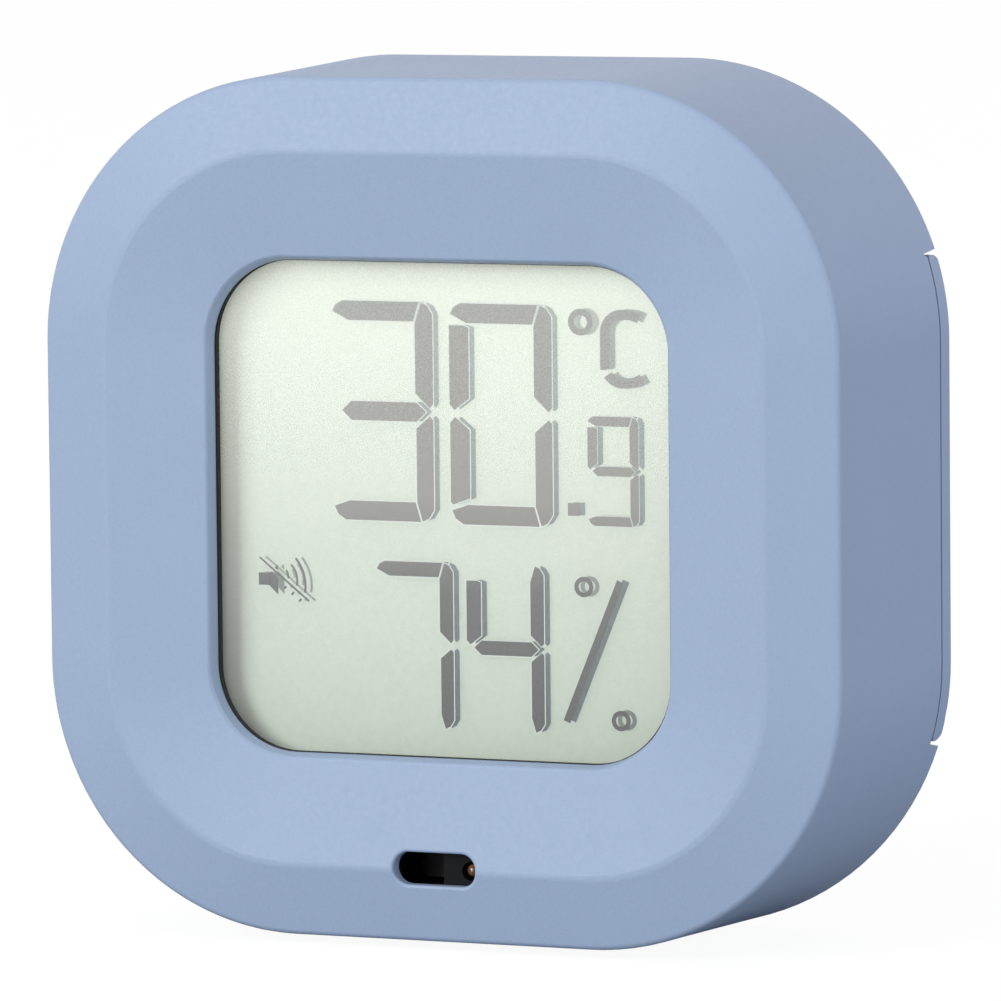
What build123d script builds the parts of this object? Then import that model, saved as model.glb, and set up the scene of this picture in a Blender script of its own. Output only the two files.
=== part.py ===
from build123d import *
from math import atan2, degrees, radians, sqrt, tan
import os

# A pocket-sized room thermometer and hygrometer: a one-piece moulded front housing round a
# reflective liquid crystal display, a screwed back cover with a battery tray, and a battery
# cover that carries a full-width fold-out table stand.
# Millimetres, +Z up, the display faces -Y, and the origin lies under the middle of the body.

# Body
side_land = 4.65  # from the battery cover's side to the body's
band_height = 14.3  # of the back above the stand
corner_radius = 20.6
draft_angle = 1.9
side_wall = 1.8
rear_edge_round = 0.5
front_edge_round = 0.5
overcut = 1.0  # how far every cutter runs past the face that it opens
hair = 0.01  # tolerance for picking edges by their place

# Front: an outer bevel falls away from a soft ridge, and a shallow funnel leads to the window
bevel_width = 5.4
bevel_drop = 1.4
ridge_round = 1.2
funnel_drop = 1.15
window_round = 0.3
window_taper = 0.25  # how far the window's wall closes in towards its back
front_wall = 1.0  # at the window's rim, the thinnest place over the display

# Sensor slot in the front, along the ridge
slot_length = 6.6
slot_height = 2.45
slot_rise = 0.13  # above the ridge
slot_round = 0.2
slot_wall = 1.2  # left at the slot, in front of the sensor holder's nose

# Display
gasket_thickness = 0.5
gasket_width = 1.7  # round the window, hidden behind its rim
gasket_side_lip = 0.4
gasket_top_lip = 0.28
gasket_bottom_lip = 0.3
polariser_thickness = 0.2
glass_thickness = 0.7
reflector_thickness = 0.2
glass_margin = 1.8
glass_head = 3.1
contact_ledge = 2.6
glass_chamfer = 0.15

# Display holder and its rubber connector
holder_wall = 0.9
holder_floor = 0.7
holder_corner = 1.0
holder_lip = 0.2
glass_clearance = 0.15
connector_end_gap = 3.3
connector_width = 2.0
connector_clearance = 0.2

# Circuit board
board_gap = 1.65
board_thickness = 0.8
board_margin = 1.25
boss_notch_clearance = 0.5

# Screws and their bosses
cover_boss_land = 0.18
cover_boss_edge_land = 0.26
holder_boss_gap = 0.43
cover_boss_radius = 2.6
cover_boss_height = 2.9
boss_web_thickness = 1.2
boss_web_reach = 3.6
cover_screw_radius = 1.0
cover_head_radius = 1.9
cover_head_height = 1.3
cover_screw_length = 8.0
counterbore_radius = 2.15
counterbore_depth = 2.3
board_screw_inset_x = 7.0
board_screw_gap = 0.75
board_post_radius = 2.1
board_screw_radius = 0.8
board_head_radius = 1.6
board_head_height = 1.0
board_screw_length = 3.6
head_round = 0.35
thread_clearance = 0.05
pilot_spare = 0.6
drive_arm = 1.1
drive_slot = 0.45
drive_depth = 0.6

# Back cover
cover_gap = 0.12
cover_sink = 0.3
cover_plate = 1.5
cover_floor = 1.4
cover_skirt = 1.2
cover_edge_round = 0.25

# Table stand, and the recess across the back that it folds into
stand_thickness = 2.0
stand_cover_land = 3.3
stand_skew = 0.35
stand_top_round = 1.3
stand_bottom_round = 1.5
stand_heel_round = 0.4
recess_gap = 0.2
notch_reach = 0.5
notch_top_width = 0.42
notch_bottom_width = 0.55
notch_tip_gap = 0.15

# Hinge of the stand: pins pressed through two ears, snapped into grooves of the stand
hinge_rise = 0.85
hinge_inset = 1.05
hinge_ear_inset = 8.85
hinge_ear_width = 3.0
hinge_ear_radius = 0.8
hinge_side_gap = 0.2
hinge_swing_gap = 0.35
pin_radius = 0.4
pin_length = 8.0
pin_clearance = 0.05
pin_end_gap = 0.2
pin_chamfer = 0.1
snap_slot_width = 0.65

# Batteries: two slim cylindrical cells side by side
cell_radius = 5.25
cell_length = 44.5
cell_nub_radius = 1.9
cell_nub_length = 0.8
cell_edge_round = 0.5
cell_gap = 1.0
cell_seat_gap = 0.05

# Battery tray in the back cover
tray_wall = 1.0
tray_floor = 0.8
tray_board_gap = 0.2
tray_side_gap = 0.25
tray_end_room = 6.3
tray_rib_height = 4.0
tray_rib_thickness = 0.8

# Battery cover
door_thickness = 1.2
door_gap = 0.15
door_side_land = 1.15
door_top_land = 2.65
door_corner = 1.5
door_cell_gap = 0.15
door_lip_end_gap = 6.7
door_lip_height = 1.2
door_lip_thickness = 0.9
ledge_thickness = 1.0
thumb_scoop_radius = 5.0
thumb_scoop_depth = 0.5

# Battery contacts
contact_thickness = 0.3
contact_width = 8.6
contact_height = 8.4
contact_corner = 0.6
contact_tab_width = 2.2
contact_tab_slack = 0.15
contact_tab_tip = 0.2
spring_wire_radius = 0.25
spring_base_radius = 3.2
spring_tip_radius = 2.0
spring_half_turns = 9
spring_touch_gap = 0.02

# Rear push buttons over their switches
button_cup_gap = 0.4
button_length = 7.6
button_height = 4.2
button_proud = 0.15
button_round = 0.35
button_travel = 0.3
button_clearance = 0.2
flange_margin = 0.9
flange_thickness = 0.9
flange_gap = 0.05
button_post_radius = 1.7
switch_size = 6.0
switch_height = 3.5
switch_corner = 0.6
switch_total_height = 9.0
switch_foot_width = 0.9
switch_foot_reach = 0.8
switch_foot_thickness = 0.3
switch_foot_spread = 4.4
plunger_radius = 1.7
plunger_clearance = 0.1
plunger_depth = 1.6
plunger_floor_gap = 0.1

# Hanging keyhole between the buttons
keyhole_head_radius = 3.1
keyhole_neck_radius = 1.6
keyhole_land = 0.28
keyhole_top_land = 0.46
keyhole_cup_wall = 0.9
keyhole_cup_depth = 3.0
keyhole_cup_margin = 0.5

# Buzzer, and the holes that let it out
buzzer_x = 11.0
buzzer_radius = 4.5
buzzer_height = 4.2
buzzer_hole_radius = 0.9
buzzer_hole_depth = 1.2
buzzer_edge_round = 0.4
buzzer_rise = 1.0
sound_hole_radius = 0.6
sound_ring_radius = 2.4
sound_hole_count = 6

# Sensor holder behind the slot, with the glass temperature bead and the humidity chip
block_length = 9.4
block_height = 5.0
block_corner = 1.2
nose_length = 8.2
nose_height = 3.2
nose_corner = 0.8
nose_gap = 0.2
bead_x = 2.5
bead_radius = 0.5
bead_length = 2.0
bead_front_gap = 0.15
bead_hole_clearance = 0.2
lead_radius = 0.12
lead_pitch = 0.5
lead_clearance = 0.05
lead_tip = 0.3
air_hole_length = 3.9
air_hole_height = 2.6
air_hole_x = 1.6
air_hole_corner = 0.4
humidity_size = 2.2
humidity_height = 1.0

# Small parts on the back of the board
blob_rise = 5.75
blob_radius = 3.6
blob_height = 1.3
blob_round = 1.1
crystal_x = 9.0
crystal_rise = 4.5
crystal_radius = 1.0
crystal_length = 6.0
crystal_edge_round = 0.2
crystal_gap = 0.03
chip_length = 1.6
chip_width = 0.9
chip_height = 0.5
chip_columns = 3
chip_rows = 2
chip_pitch_x = 3.2
chip_pitch_z = 2.6
chip_group_x = 9.5
chip_group_rise = 6.5

# Depths of the layers, counted back from the front of the ridge; the stack makes the body's depth
front_back = funnel_drop + front_wall
glass_front = front_back + gasket_thickness
ink_depth = glass_front + polariser_thickness + glass_thickness
rear_glass_back = ink_depth + glass_thickness
reflector_back = rear_glass_back + reflector_thickness
board_front = reflector_back + board_gap
board_back = board_front + board_thickness
tray_front = board_back + tray_board_gap
tray_back = tray_front + tray_floor
cell_depth = tray_back + cell_seat_gap + cell_radius
door_front = cell_depth + cell_radius + door_cell_gap
door_back = door_front + door_thickness
recess_floor = door_back
stand_front = recess_floor + recess_gap
body_depth = stand_front + stand_thickness
cover_back = body_depth - cover_sink
cover_front = cover_back - cover_plate
cover_floor_front = recess_floor - cover_floor
boss_end = cover_front - cover_boss_height
screw_seat = cover_back - counterbore_depth
hinge_depth = body_depth - hinge_inset
switch_back = board_back + switch_height
plunger_back = board_back + switch_total_height
flange_back = cover_front - flange_gap

# Widths and heights, counted from the middle of the body, from the cells outwards
draft_slope = tan(radians(draft_angle))
contact_x = (cell_length + tray_end_room) / 2
cell_end_x = contact_x - tray_end_room
tray_half_length = contact_x + contact_thickness
cell_z = cell_radius + cell_gap / 2
tray_half_height = cell_z + cell_radius + tray_side_gap
tray_edge = tray_half_height + tray_wall
door_half_width = tray_half_length + tray_wall + door_side_land
door_top = tray_edge + door_top_land
stand_top = door_top + stand_cover_land
stand_bottom = stand_top - stand_skew
recess_top = stand_top + notch_top_width
recess_bottom = stand_bottom + notch_bottom_width
hinge_ear_x = door_half_width - hinge_ear_inset
hinge_z = hinge_rise - stand_bottom
door_bottom = hinge_z - hinge_ear_radius
half_width = door_half_width + side_land
half_height = stand_top + band_height
body_width = 2 * half_width
body_height = 2 * half_height
board_inset = side_wall + (body_depth - front_back) * draft_slope + board_margin
cover_inset = side_wall + (body_depth - cover_floor_front) * draft_slope + cover_gap
cover_half_height = half_height - cover_inset
top_band_z = (recess_top + cover_half_height) / 2
bottom_band_z = -(recess_bottom + cover_half_height) / 2

# The cover's screws sit against the stand's recess, as far out as the round corners let them,
# and the display fills what they leave
cover_screw_z = recess_top + cover_boss_land + cover_boss_radius
cover_boss_reach = corner_radius - cover_inset - cover_boss_edge_land - cover_boss_radius
cover_boss_rise = cover_screw_z - half_height + corner_radius
cover_screw_x = half_width - corner_radius + sqrt(cover_boss_reach**2 - cover_boss_rise**2)
holder_half_width = cover_screw_x - cover_boss_radius - holder_boss_gap
pocket_half_width = holder_half_width - holder_wall
glass_half_width = pocket_half_width - glass_clearance
window_half_width = glass_half_width - glass_margin
window_inset = half_width - window_half_width
window_half_height = half_height - window_inset
rim_inset = (body_depth - bevel_drop) * draft_slope
ridge_inset = rim_inset + bevel_width
glass_top = window_half_height + glass_head
glass_bottom = -window_half_height - glass_margin
pocket_top = glass_top + glass_clearance
pocket_bottom = glass_bottom - glass_clearance
rear_glass_top = glass_top - contact_ledge
connector_z = glass_top - contact_ledge / 2
connector_length = 2 * (glass_half_width - connector_end_gap)

# Small parts
slot_z = ridge_inset - half_height
keyhole_z = recess_top + keyhole_land + keyhole_cup_wall + keyhole_cup_margin + keyhole_head_radius
cup_top = cover_half_height - keyhole_top_land - keyhole_cup_wall
keyhole_neck_z = cup_top - keyhole_cup_margin - keyhole_neck_radius
cup_half_width = keyhole_head_radius + keyhole_cup_margin
cup_bottom = keyhole_z - keyhole_head_radius - keyhole_cup_margin
button_x = cup_half_width + keyhole_cup_wall + button_cup_gap + flange_margin + button_length / 2
door_lip_length = 2 * (tray_half_length - door_lip_end_gap)
buzzer_z = bottom_band_z + buzzer_rise
crystal_z = tray_edge + crystal_rise

# Places of the repeated features
signs = (-1, 1)
board_screw_x = half_width - board_screw_inset_x
board_screw_z = tray_edge + board_head_radius + board_screw_gap
cover_screw_places = [(sx * cover_screw_x, sz * cover_screw_z) for sx in signs for sz in signs]
board_screw_places = [(sx * board_screw_x, sz * board_screw_z) for sx in signs for sz in signs]
tab_places = [(contact_x + contact_thickness / 2, sz * cell_z) for sz in signs]
lead_places = [(bead_x + sx * lead_pitch / 2, slot_z) for sx in signs]
foot_places = [
    (sx * (switch_size + switch_foot_reach) / 2, sz * switch_foot_spread / 2)
    for sx in signs
    for sz in signs
]


def layer(depth):
    """Plane across the body at a depth behind the ridge, facing the reader."""
    return Plane(
        origin=(0, depth - body_depth / 2, half_height), x_dir=(1, 0, 0), z_dir=(0, -1, 0)
    )


def side_plane(x):
    """Plane along the body at x, drawn in depth and in height from the middle."""
    return Plane(origin=(x, -body_depth / 2, half_height), x_dir=(0, 1, 0), z_dir=(1, 0, 0))


def point(x, depth, z):
    """Point of the model from its place across, its depth and its height from the middle."""
    return Vector(x, depth - body_depth / 2, half_height + z)


def at_depth(edges, depth):
    """Edges that lie at one depth behind the ridge."""
    y = depth - body_depth / 2
    return edges.filter_by_position(Axis.Y, y - hair, y + hair)


def draw_outline(inset, mode=Mode.ADD):
    """Rounded square of the body, drawn in by an inset on every side."""
    RectangleRounded(
        body_width - 2 * inset, body_height - 2 * inset, corner_radius - inset, mode=mode
    )


def draw_box(left, right, bottom, top, corner=0, mode=Mode.ADD):
    """Rectangle between four sides, with rounded corners if a radius is given."""
    with Locations(((left + right) / 2, (bottom + top) / 2)):
        if corner:
            RectangleRounded(right - left, top - bottom, corner, mode=mode)
        else:
            Rectangle(right - left, top - bottom, mode=mode)


def draw_cross(places):
    """Cross recess at every place."""
    with Locations(*places):
        Rectangle(2 * drive_arm, drive_slot)
        Rectangle(drive_slot, 2 * drive_arm)


def draw_recess():
    """Section of the stand's recess: a flat floor between two finger notches."""
    Polygon(
        (body_depth + overcut, recess_top),
        (body_depth, recess_top),
        (recess_floor - notch_reach, stand_top + notch_tip_gap),
        (recess_floor, stand_top - notch_tip_gap),
        (recess_floor, -stand_bottom - notch_tip_gap),
        (body_depth, -recess_bottom),
        (body_depth + overcut, -recess_bottom),
        align=None,
    )


def draw_contact(z, reach):
    """Contact plate standing on the tray's floor, centred at a height."""
    draw_box(tray_back, tray_back + contact_height, z - reach, z + reach, contact_corner)


def spring_knots(base_x, tip_x, z):
    """Points where the half turns of a conical spring meet, in a line above and below its axis."""
    knots = []
    for turn in range(spring_half_turns + 1):
        share = turn / spring_half_turns
        radius = spring_base_radius + (spring_tip_radius - spring_base_radius) * share
        side = 1 if turn % 2 else -1
        knots.append(point(base_x + (tip_x - base_x) * share, cell_depth, z + side * radius))
    return knots


def half_turn(knots, turn):
    """Start, middle and end of one half turn, which leaves and meets its neighbours smoothly."""
    start = knots[turn]
    end = knots[turn + 1]
    bulge = (end - start).length / 2
    return start, (start + end) / 2 + Vector(0, bulge if turn % 2 else -bulge, 0), end


# Front housing: one drafted tub with the bevelled front, the window and the sensor slot
with BuildPart() as front_housing:
    with BuildSketch(layer(body_depth)):
        draw_outline(0)
    extrude(amount=body_depth - bevel_drop, taper=draft_angle)
    with BuildSketch(layer(bevel_drop)):
        draw_outline(rim_inset)
    with BuildSketch(layer(0)):
        draw_outline(ridge_inset)
    loft(ruled=True)
    with BuildSketch(layer(0)):
        draw_outline(ridge_inset)
    with BuildSketch(layer(funnel_drop)):
        draw_outline(window_inset)
    loft(ruled=True, mode=Mode.SUBTRACT)
    fillet(at_depth(front_housing.edges(), body_depth), rear_edge_round)
    fillet(at_depth(front_housing.edges(), bevel_drop), front_edge_round)
    fillet(at_depth(front_housing.edges(), 0), ridge_round)
    with BuildSketch(layer(body_depth)):
        draw_outline(side_wall)
    extrude(amount=body_depth - front_back, taper=draft_angle, mode=Mode.SUBTRACT)
    with BuildSketch(layer(front_back)):
        draw_outline(window_inset + window_taper)
    extrude(amount=front_back, taper=-degrees(atan2(window_taper, front_wall)), mode=Mode.SUBTRACT)
    fillet(at_depth(front_housing.edges(), funnel_drop), window_round)
    with BuildSketch(layer(front_back + overcut)):
        with Locations((0, slot_z + slot_rise)):
            SlotOverall(slot_length, slot_height)
    extrude(amount=front_back + 2 * overcut, mode=Mode.SUBTRACT)
    slot_rim = front_housing.edges(Select.LAST).filter_by_position(
        Axis.Y, -body_depth / 2, front_back / 4 - body_depth / 2
    )
    fillet(slot_rim, slot_round)
    with BuildSketch(layer(front_back + overcut)):
        with Locations((0, slot_z)):
            RectangleRounded(
                nose_length + 2 * nose_gap, nose_height + 2 * nose_gap, nose_corner + nose_gap
            )
    extrude(amount=front_back + overcut - slot_wall, mode=Mode.SUBTRACT)
    # Bosses for the back cover's screws, each webbed into its corner, and posts for the board
    with BuildSketch(layer(boss_end)):
        for screw_x, screw_z in cover_screw_places:
            with Locations((screw_x, screw_z)):
                Circle(cover_boss_radius)
                Rectangle(
                    boss_web_reach,
                    boss_web_thickness,
                    rotation=degrees(atan2(screw_z, screw_x)),
                    align=(Align.MIN, Align.CENTER),
                )
    extrude(amount=boss_end - front_back)
    with BuildSketch(layer(board_front)):
        with Locations(*board_screw_places):
            Circle(board_post_radius)
    extrude(amount=board_front - front_back)
    with BuildSketch(layer(boss_end)):
        with Locations(*cover_screw_places):
            Circle(cover_screw_radius + thread_clearance)
    extrude(amount=boss_end - screw_seat + cover_screw_length + pilot_spare, mode=Mode.SUBTRACT)
    with BuildSketch(layer(board_front)):
        with Locations(*board_screw_places):
            Circle(board_screw_radius + thread_clearance)
    extrude(amount=board_screw_length - board_thickness + pilot_spare, mode=Mode.SUBTRACT)
    with BuildSketch(side_plane(-half_width - overcut)):
        draw_recess()
    extrude(amount=body_width + 2 * overcut, mode=Mode.SUBTRACT)

# Black foam gasket between the housing and the display, a little proud of the window's edge
with BuildPart() as display_gasket:
    with BuildSketch(layer(glass_front)):
        draw_outline(window_inset - gasket_width)
        draw_box(
            gasket_side_lip - window_half_width,
            window_half_width - gasket_side_lip,
            gasket_bottom_lip - window_half_height,
            window_half_height - gasket_top_lip,
            corner_radius - window_inset - gasket_side_lip,
            Mode.SUBTRACT,
        )
    extrude(amount=gasket_thickness)

# Display: the front glass hangs over the rear one at the top, where its contacts are
with BuildPart() as display_front_glass:
    with BuildSketch(layer(ink_depth)):
        draw_box(-glass_half_width, glass_half_width, glass_bottom, glass_top)
    extrude(amount=glass_thickness + polariser_thickness)
    chamfer(display_front_glass.edges().filter_by(Axis.Y), glass_chamfer)

with BuildPart() as display_rear_glass:
    with BuildSketch(layer(rear_glass_back)):
        draw_box(-glass_half_width, glass_half_width, glass_bottom, rear_glass_top)
    extrude(amount=glass_thickness)
    chamfer(display_rear_glass.edges().filter_by(Axis.Y), glass_chamfer)

with BuildPart() as display_reflector:
    with BuildSketch(layer(reflector_back)):
        draw_box(
            glass_clearance - glass_half_width,
            glass_half_width - glass_clearance,
            glass_bottom + glass_clearance,
            rear_glass_top - glass_clearance,
        )
    extrude(amount=reflector_thickness)

# Holder that frames the glass and stands on the board
with BuildPart() as display_holder:
    with BuildSketch(layer(board_front)):
        draw_box(
            -holder_half_width,
            holder_half_width,
            pocket_bottom - holder_wall,
            pocket_top + holder_wall,
            holder_corner,
        )
    extrude(amount=board_front - glass_front - holder_lip)
    with BuildSketch(layer(reflector_back)):
        draw_box(-pocket_half_width, pocket_half_width, pocket_bottom, pocket_top)
    extrude(amount=reflector_back - glass_front + overcut, mode=Mode.SUBTRACT)
    with BuildSketch(layer(board_front)):
        draw_box(-pocket_half_width, pocket_half_width, pocket_bottom, pocket_top)
    extrude(amount=board_gap - holder_floor, mode=Mode.SUBTRACT)
    with BuildSketch(layer(board_front)):
        with Locations((0, connector_z)):
            Rectangle(
                connector_length + 2 * connector_clearance,
                connector_width + 2 * connector_clearance,
            )
    extrude(amount=board_front - glass_front, mode=Mode.SUBTRACT)

with BuildPart() as display_connector:
    with BuildSketch(layer(board_front)):
        with Locations((0, connector_z)):
            Rectangle(connector_length, connector_width)
    extrude(amount=board_front - ink_depth)

# Circuit board, notched round the housing's bosses
with BuildPart() as circuit_board:
    with BuildSketch(layer(board_back)):
        draw_outline(board_inset)
        with Locations(*cover_screw_places):
            Circle(cover_boss_radius + boss_notch_clearance, mode=Mode.SUBTRACT)
        with Locations(*board_screw_places):
            Circle(board_screw_radius + thread_clearance, mode=Mode.SUBTRACT)
        with Locations(*tab_places):
            Rectangle(
                contact_thickness + 2 * contact_tab_slack,
                contact_tab_width + 2 * contact_tab_slack,
                mode=Mode.SUBTRACT,
            )
        with Locations(*lead_places):
            Circle(lead_radius + lead_clearance, mode=Mode.SUBTRACT)
    extrude(amount=board_thickness)

# Screws: pan heads with a cross recess on plain shanks
with BuildPart() as cover_screws:
    with BuildSketch(layer(screw_seat)):
        with Locations(*cover_screw_places):
            Circle(cover_head_radius)
    extrude(amount=-cover_head_height)
    fillet(at_depth(cover_screws.edges(), screw_seat + cover_head_height), head_round)
    with BuildSketch(layer(screw_seat)):
        with Locations(*cover_screw_places):
            Circle(cover_screw_radius)
    extrude(amount=cover_screw_length)
    with BuildSketch(layer(screw_seat + cover_head_height)):
        draw_cross(cover_screw_places)
    extrude(amount=drive_depth, mode=Mode.SUBTRACT)

with BuildPart() as board_screws:
    with BuildSketch(layer(board_back)):
        with Locations(*board_screw_places):
            Circle(board_head_radius)
    extrude(amount=-board_head_height)
    fillet(at_depth(board_screws.edges(), board_back + board_head_height), head_round)
    with BuildSketch(layer(board_back)):
        with Locations(*board_screw_places):
            Circle(board_screw_radius)
    extrude(amount=board_screw_length)
    with BuildSketch(layer(board_back + board_head_height)):
        draw_cross(board_screw_places)
    extrude(amount=drive_depth, mode=Mode.SUBTRACT)

# Back cover: two raised bands, the stand's recess between them, and the battery tray
with BuildPart() as back_cover:
    with BuildSketch(layer(cover_back)):
        draw_outline(cover_inset)
    extrude(amount=cover_back - cover_floor_front)
    fillet(at_depth(back_cover.edges(), cover_back), cover_edge_round)
    with BuildSketch(layer(cover_front)):
        draw_outline(cover_inset + cover_skirt)
        draw_box(
            -half_width,
            half_width,
            -recess_bottom - cover_skirt,
            recess_top + cover_skirt,
            mode=Mode.SUBTRACT,
        )
    extrude(amount=cover_front - cover_floor_front + overcut, mode=Mode.SUBTRACT)
    with BuildSketch(side_plane(-half_width - overcut)):
        draw_recess()
    extrude(amount=body_width + 2 * overcut, mode=Mode.SUBTRACT)
    # Opening for the battery cover, the ledge that it rests on, and the tray below
    with BuildSketch(layer(recess_floor + overcut)):
        draw_box(
            -door_half_width - door_gap,
            door_half_width + door_gap,
            door_bottom - door_gap,
            door_top + door_gap,
            door_corner + door_gap,
        )
    extrude(amount=cover_floor + 2 * overcut, mode=Mode.SUBTRACT)
    with BuildSketch(layer(door_front)):
        draw_box(
            -door_half_width - door_gap - cover_skirt,
            door_half_width + door_gap + cover_skirt,
            door_bottom - door_gap - cover_skirt,
            door_top + door_gap + cover_skirt,
            door_corner + door_gap + cover_skirt,
        )
    extrude(amount=ledge_thickness)
    with BuildSketch(layer(door_front)):
        draw_box(-tray_half_length - tray_wall, tray_half_length + tray_wall, -tray_edge, tray_edge)
    extrude(amount=door_front - tray_front)
    with BuildSketch(layer(door_front + overcut)):
        draw_box(-tray_half_length, tray_half_length, -tray_half_height, tray_half_height)
    extrude(amount=door_front + overcut - tray_back, mode=Mode.SUBTRACT)
    with BuildSketch(layer(tray_back + tray_rib_height)):
        Rectangle(2 * cell_end_x, tray_rib_thickness)
    extrude(amount=tray_rib_height)
    with BuildSketch(layer(tray_back + overcut)):
        with Locations(*tab_places):
            Rectangle(contact_thickness, contact_tab_width + 2 * contact_tab_slack)
    extrude(amount=tray_floor + 2 * overcut, mode=Mode.SUBTRACT)
    # Screw bosses with counterbores
    with BuildSketch(layer(cover_front)):
        with Locations(*cover_screw_places):
            Circle(cover_boss_radius)
    extrude(amount=cover_boss_height)
    with BuildSketch(layer(cover_back + overcut)):
        with Locations(*cover_screw_places):
            Circle(counterbore_radius)
    extrude(amount=counterbore_depth + overcut, mode=Mode.SUBTRACT)
    with BuildSketch(layer(screw_seat + overcut)):
        with Locations(*cover_screw_places):
            Circle(cover_screw_radius + thread_clearance)
    extrude(amount=screw_seat - boss_end + 2 * overcut, mode=Mode.SUBTRACT)
    # Keyhole with a closed cup behind it
    with BuildSketch(layer(cover_front)):
        draw_box(
            -cup_half_width - keyhole_cup_wall,
            cup_half_width + keyhole_cup_wall,
            cup_bottom - keyhole_cup_wall,
            cup_top + keyhole_cup_wall,
        )
    extrude(amount=keyhole_cup_depth + keyhole_cup_wall)
    with BuildSketch(layer(cover_front)):
        draw_box(-cup_half_width, cup_half_width, cup_bottom, cup_top)
    extrude(amount=keyhole_cup_depth, mode=Mode.SUBTRACT)
    with BuildSketch(layer(cover_back + overcut)):
        with Locations((0, keyhole_z)):
            Circle(keyhole_head_radius)
        with Locations((0, keyhole_neck_z)):
            Circle(keyhole_neck_radius)
        draw_box(-keyhole_neck_radius, keyhole_neck_radius, keyhole_z, keyhole_neck_z)
    extrude(amount=cover_plate + 2 * overcut, mode=Mode.SUBTRACT)
    # Holes for the two buttons and for the buzzer's sound
    with BuildSketch(layer(cover_back + overcut)):
        with Locations(*[(sx * button_x, top_band_z) for sx in signs]):
            SlotOverall(button_length + 2 * button_clearance, button_height + 2 * button_clearance)
        with Locations((buzzer_x, bottom_band_z)):
            with PolarLocations(sound_ring_radius, sound_hole_count):
                Circle(sound_hole_radius)
    extrude(amount=cover_plate + 2 * overcut, mode=Mode.SUBTRACT)

# Battery cover with locating lips, a thumb scoop and the ears of the stand's hinge
with BuildPart() as battery_cover:
    with BuildSketch(layer(door_back)):
        draw_box(-door_half_width, door_half_width, door_bottom, door_top, door_corner)
    extrude(amount=door_thickness)
    with BuildSketch(layer(door_front)):
        with Locations(
            *[(0, sz * (tray_half_height - door_gap - door_lip_thickness / 2)) for sz in signs]
        ):
            Rectangle(door_lip_length, door_lip_thickness)
    extrude(amount=door_lip_height)
    with BuildSketch(layer(door_back)):
        with Locations((0, door_top)):
            Circle(thumb_scoop_radius)
    extrude(amount=thumb_scoop_depth, mode=Mode.SUBTRACT)
    for sx in signs:
        with BuildSketch(side_plane(sx * hinge_ear_x - hinge_ear_width / 2)):
            with Locations((hinge_depth, hinge_z)):
                Circle(hinge_ear_radius)
            draw_box(
                door_front, hinge_depth, hinge_z - hinge_ear_radius, hinge_z + hinge_ear_radius
            )
        extrude(amount=hinge_ear_width)
    with BuildSketch(side_plane(-half_width)):
        with Locations((hinge_depth, hinge_z)):
            Circle(pin_radius)
    extrude(amount=body_width, mode=Mode.SUBTRACT)

# Pins pressed through the ears
with BuildPart() as hinge_pins:
    for sx in signs:
        with BuildSketch(side_plane(sx * hinge_ear_x - pin_length / 2)):
            with Locations((hinge_depth, hinge_z)):
                Circle(pin_radius)
        extrude(amount=pin_length)
    chamfer(hinge_pins.edges().filter_by(GeomType.CIRCLE), pin_chamfer)

# Table stand: a slice of the body's rear with rounded ends, notched round the ears
with BuildPart() as table_stand:
    with BuildSketch(layer(body_depth)):
        draw_outline(0)
    extrude(amount=stand_thickness, taper=draft_angle)
    fillet(at_depth(table_stand.edges(), body_depth), rear_edge_round)
    with BuildSketch(side_plane(-half_width - overcut)) as stand_section:
        draw_box(stand_front, body_depth, -stand_bottom, stand_top)
        fillet(stand_section.vertices().group_by(Axis.X)[-1].sort_by(Axis.Y)[-1], stand_top_round)
        fillet(stand_section.vertices().group_by(Axis.X)[-1].sort_by(Axis.Y)[0], stand_bottom_round)
        fillet(stand_section.vertices().group_by(Axis.X)[0], stand_heel_round)
    extrude(amount=body_width + 2 * overcut, mode=Mode.INTERSECT)
    with BuildSketch(layer(body_depth + overcut)):
        for sx in signs:
            draw_box(
                sx * hinge_ear_x - hinge_ear_width / 2 - hinge_side_gap,
                sx * hinge_ear_x + hinge_ear_width / 2 + hinge_side_gap,
                -stand_bottom - overcut,
                hinge_z + hinge_ear_radius + hinge_swing_gap,
            )
    extrude(amount=stand_thickness + 2 * overcut, mode=Mode.SUBTRACT)
    for sx in signs:
        with BuildSketch(side_plane(sx * hinge_ear_x - pin_length / 2 - pin_end_gap)):
            with Locations((hinge_depth, hinge_z)):
                Circle(pin_radius + pin_clearance)
            draw_box(
                stand_front - overcut,
                hinge_depth,
                hinge_z - snap_slot_width / 2,
                hinge_z + snap_slot_width / 2,
            )
        extrude(amount=pin_length + 2 * pin_end_gap, mode=Mode.SUBTRACT)

# Cells: the upper one's nub points right, the lower one's left
with BuildPart() as upper_cell:
    with BuildSketch(side_plane(-cell_end_x)):
        with Locations((cell_depth, cell_z)):
            Circle(cell_radius)
    extrude(amount=cell_length - cell_nub_length)
    fillet(upper_cell.edges().filter_by(GeomType.CIRCLE), cell_edge_round)
    with BuildSketch(side_plane(contact_x - cell_nub_length)):
        with Locations((cell_depth, cell_z)):
            Circle(cell_nub_radius)
    extrude(amount=cell_nub_length)

with BuildPart() as lower_cell:
    with BuildSketch(side_plane(cell_nub_length - contact_x)):
        with Locations((cell_depth, -cell_z)):
            Circle(cell_radius)
    extrude(amount=cell_length - cell_nub_length)
    fillet(lower_cell.edges().filter_by(GeomType.CIRCLE), cell_edge_round)
    with BuildSketch(side_plane(-contact_x)):
        with Locations((cell_depth, -cell_z)):
            Circle(cell_nub_radius)
    extrude(amount=cell_nub_length)

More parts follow.
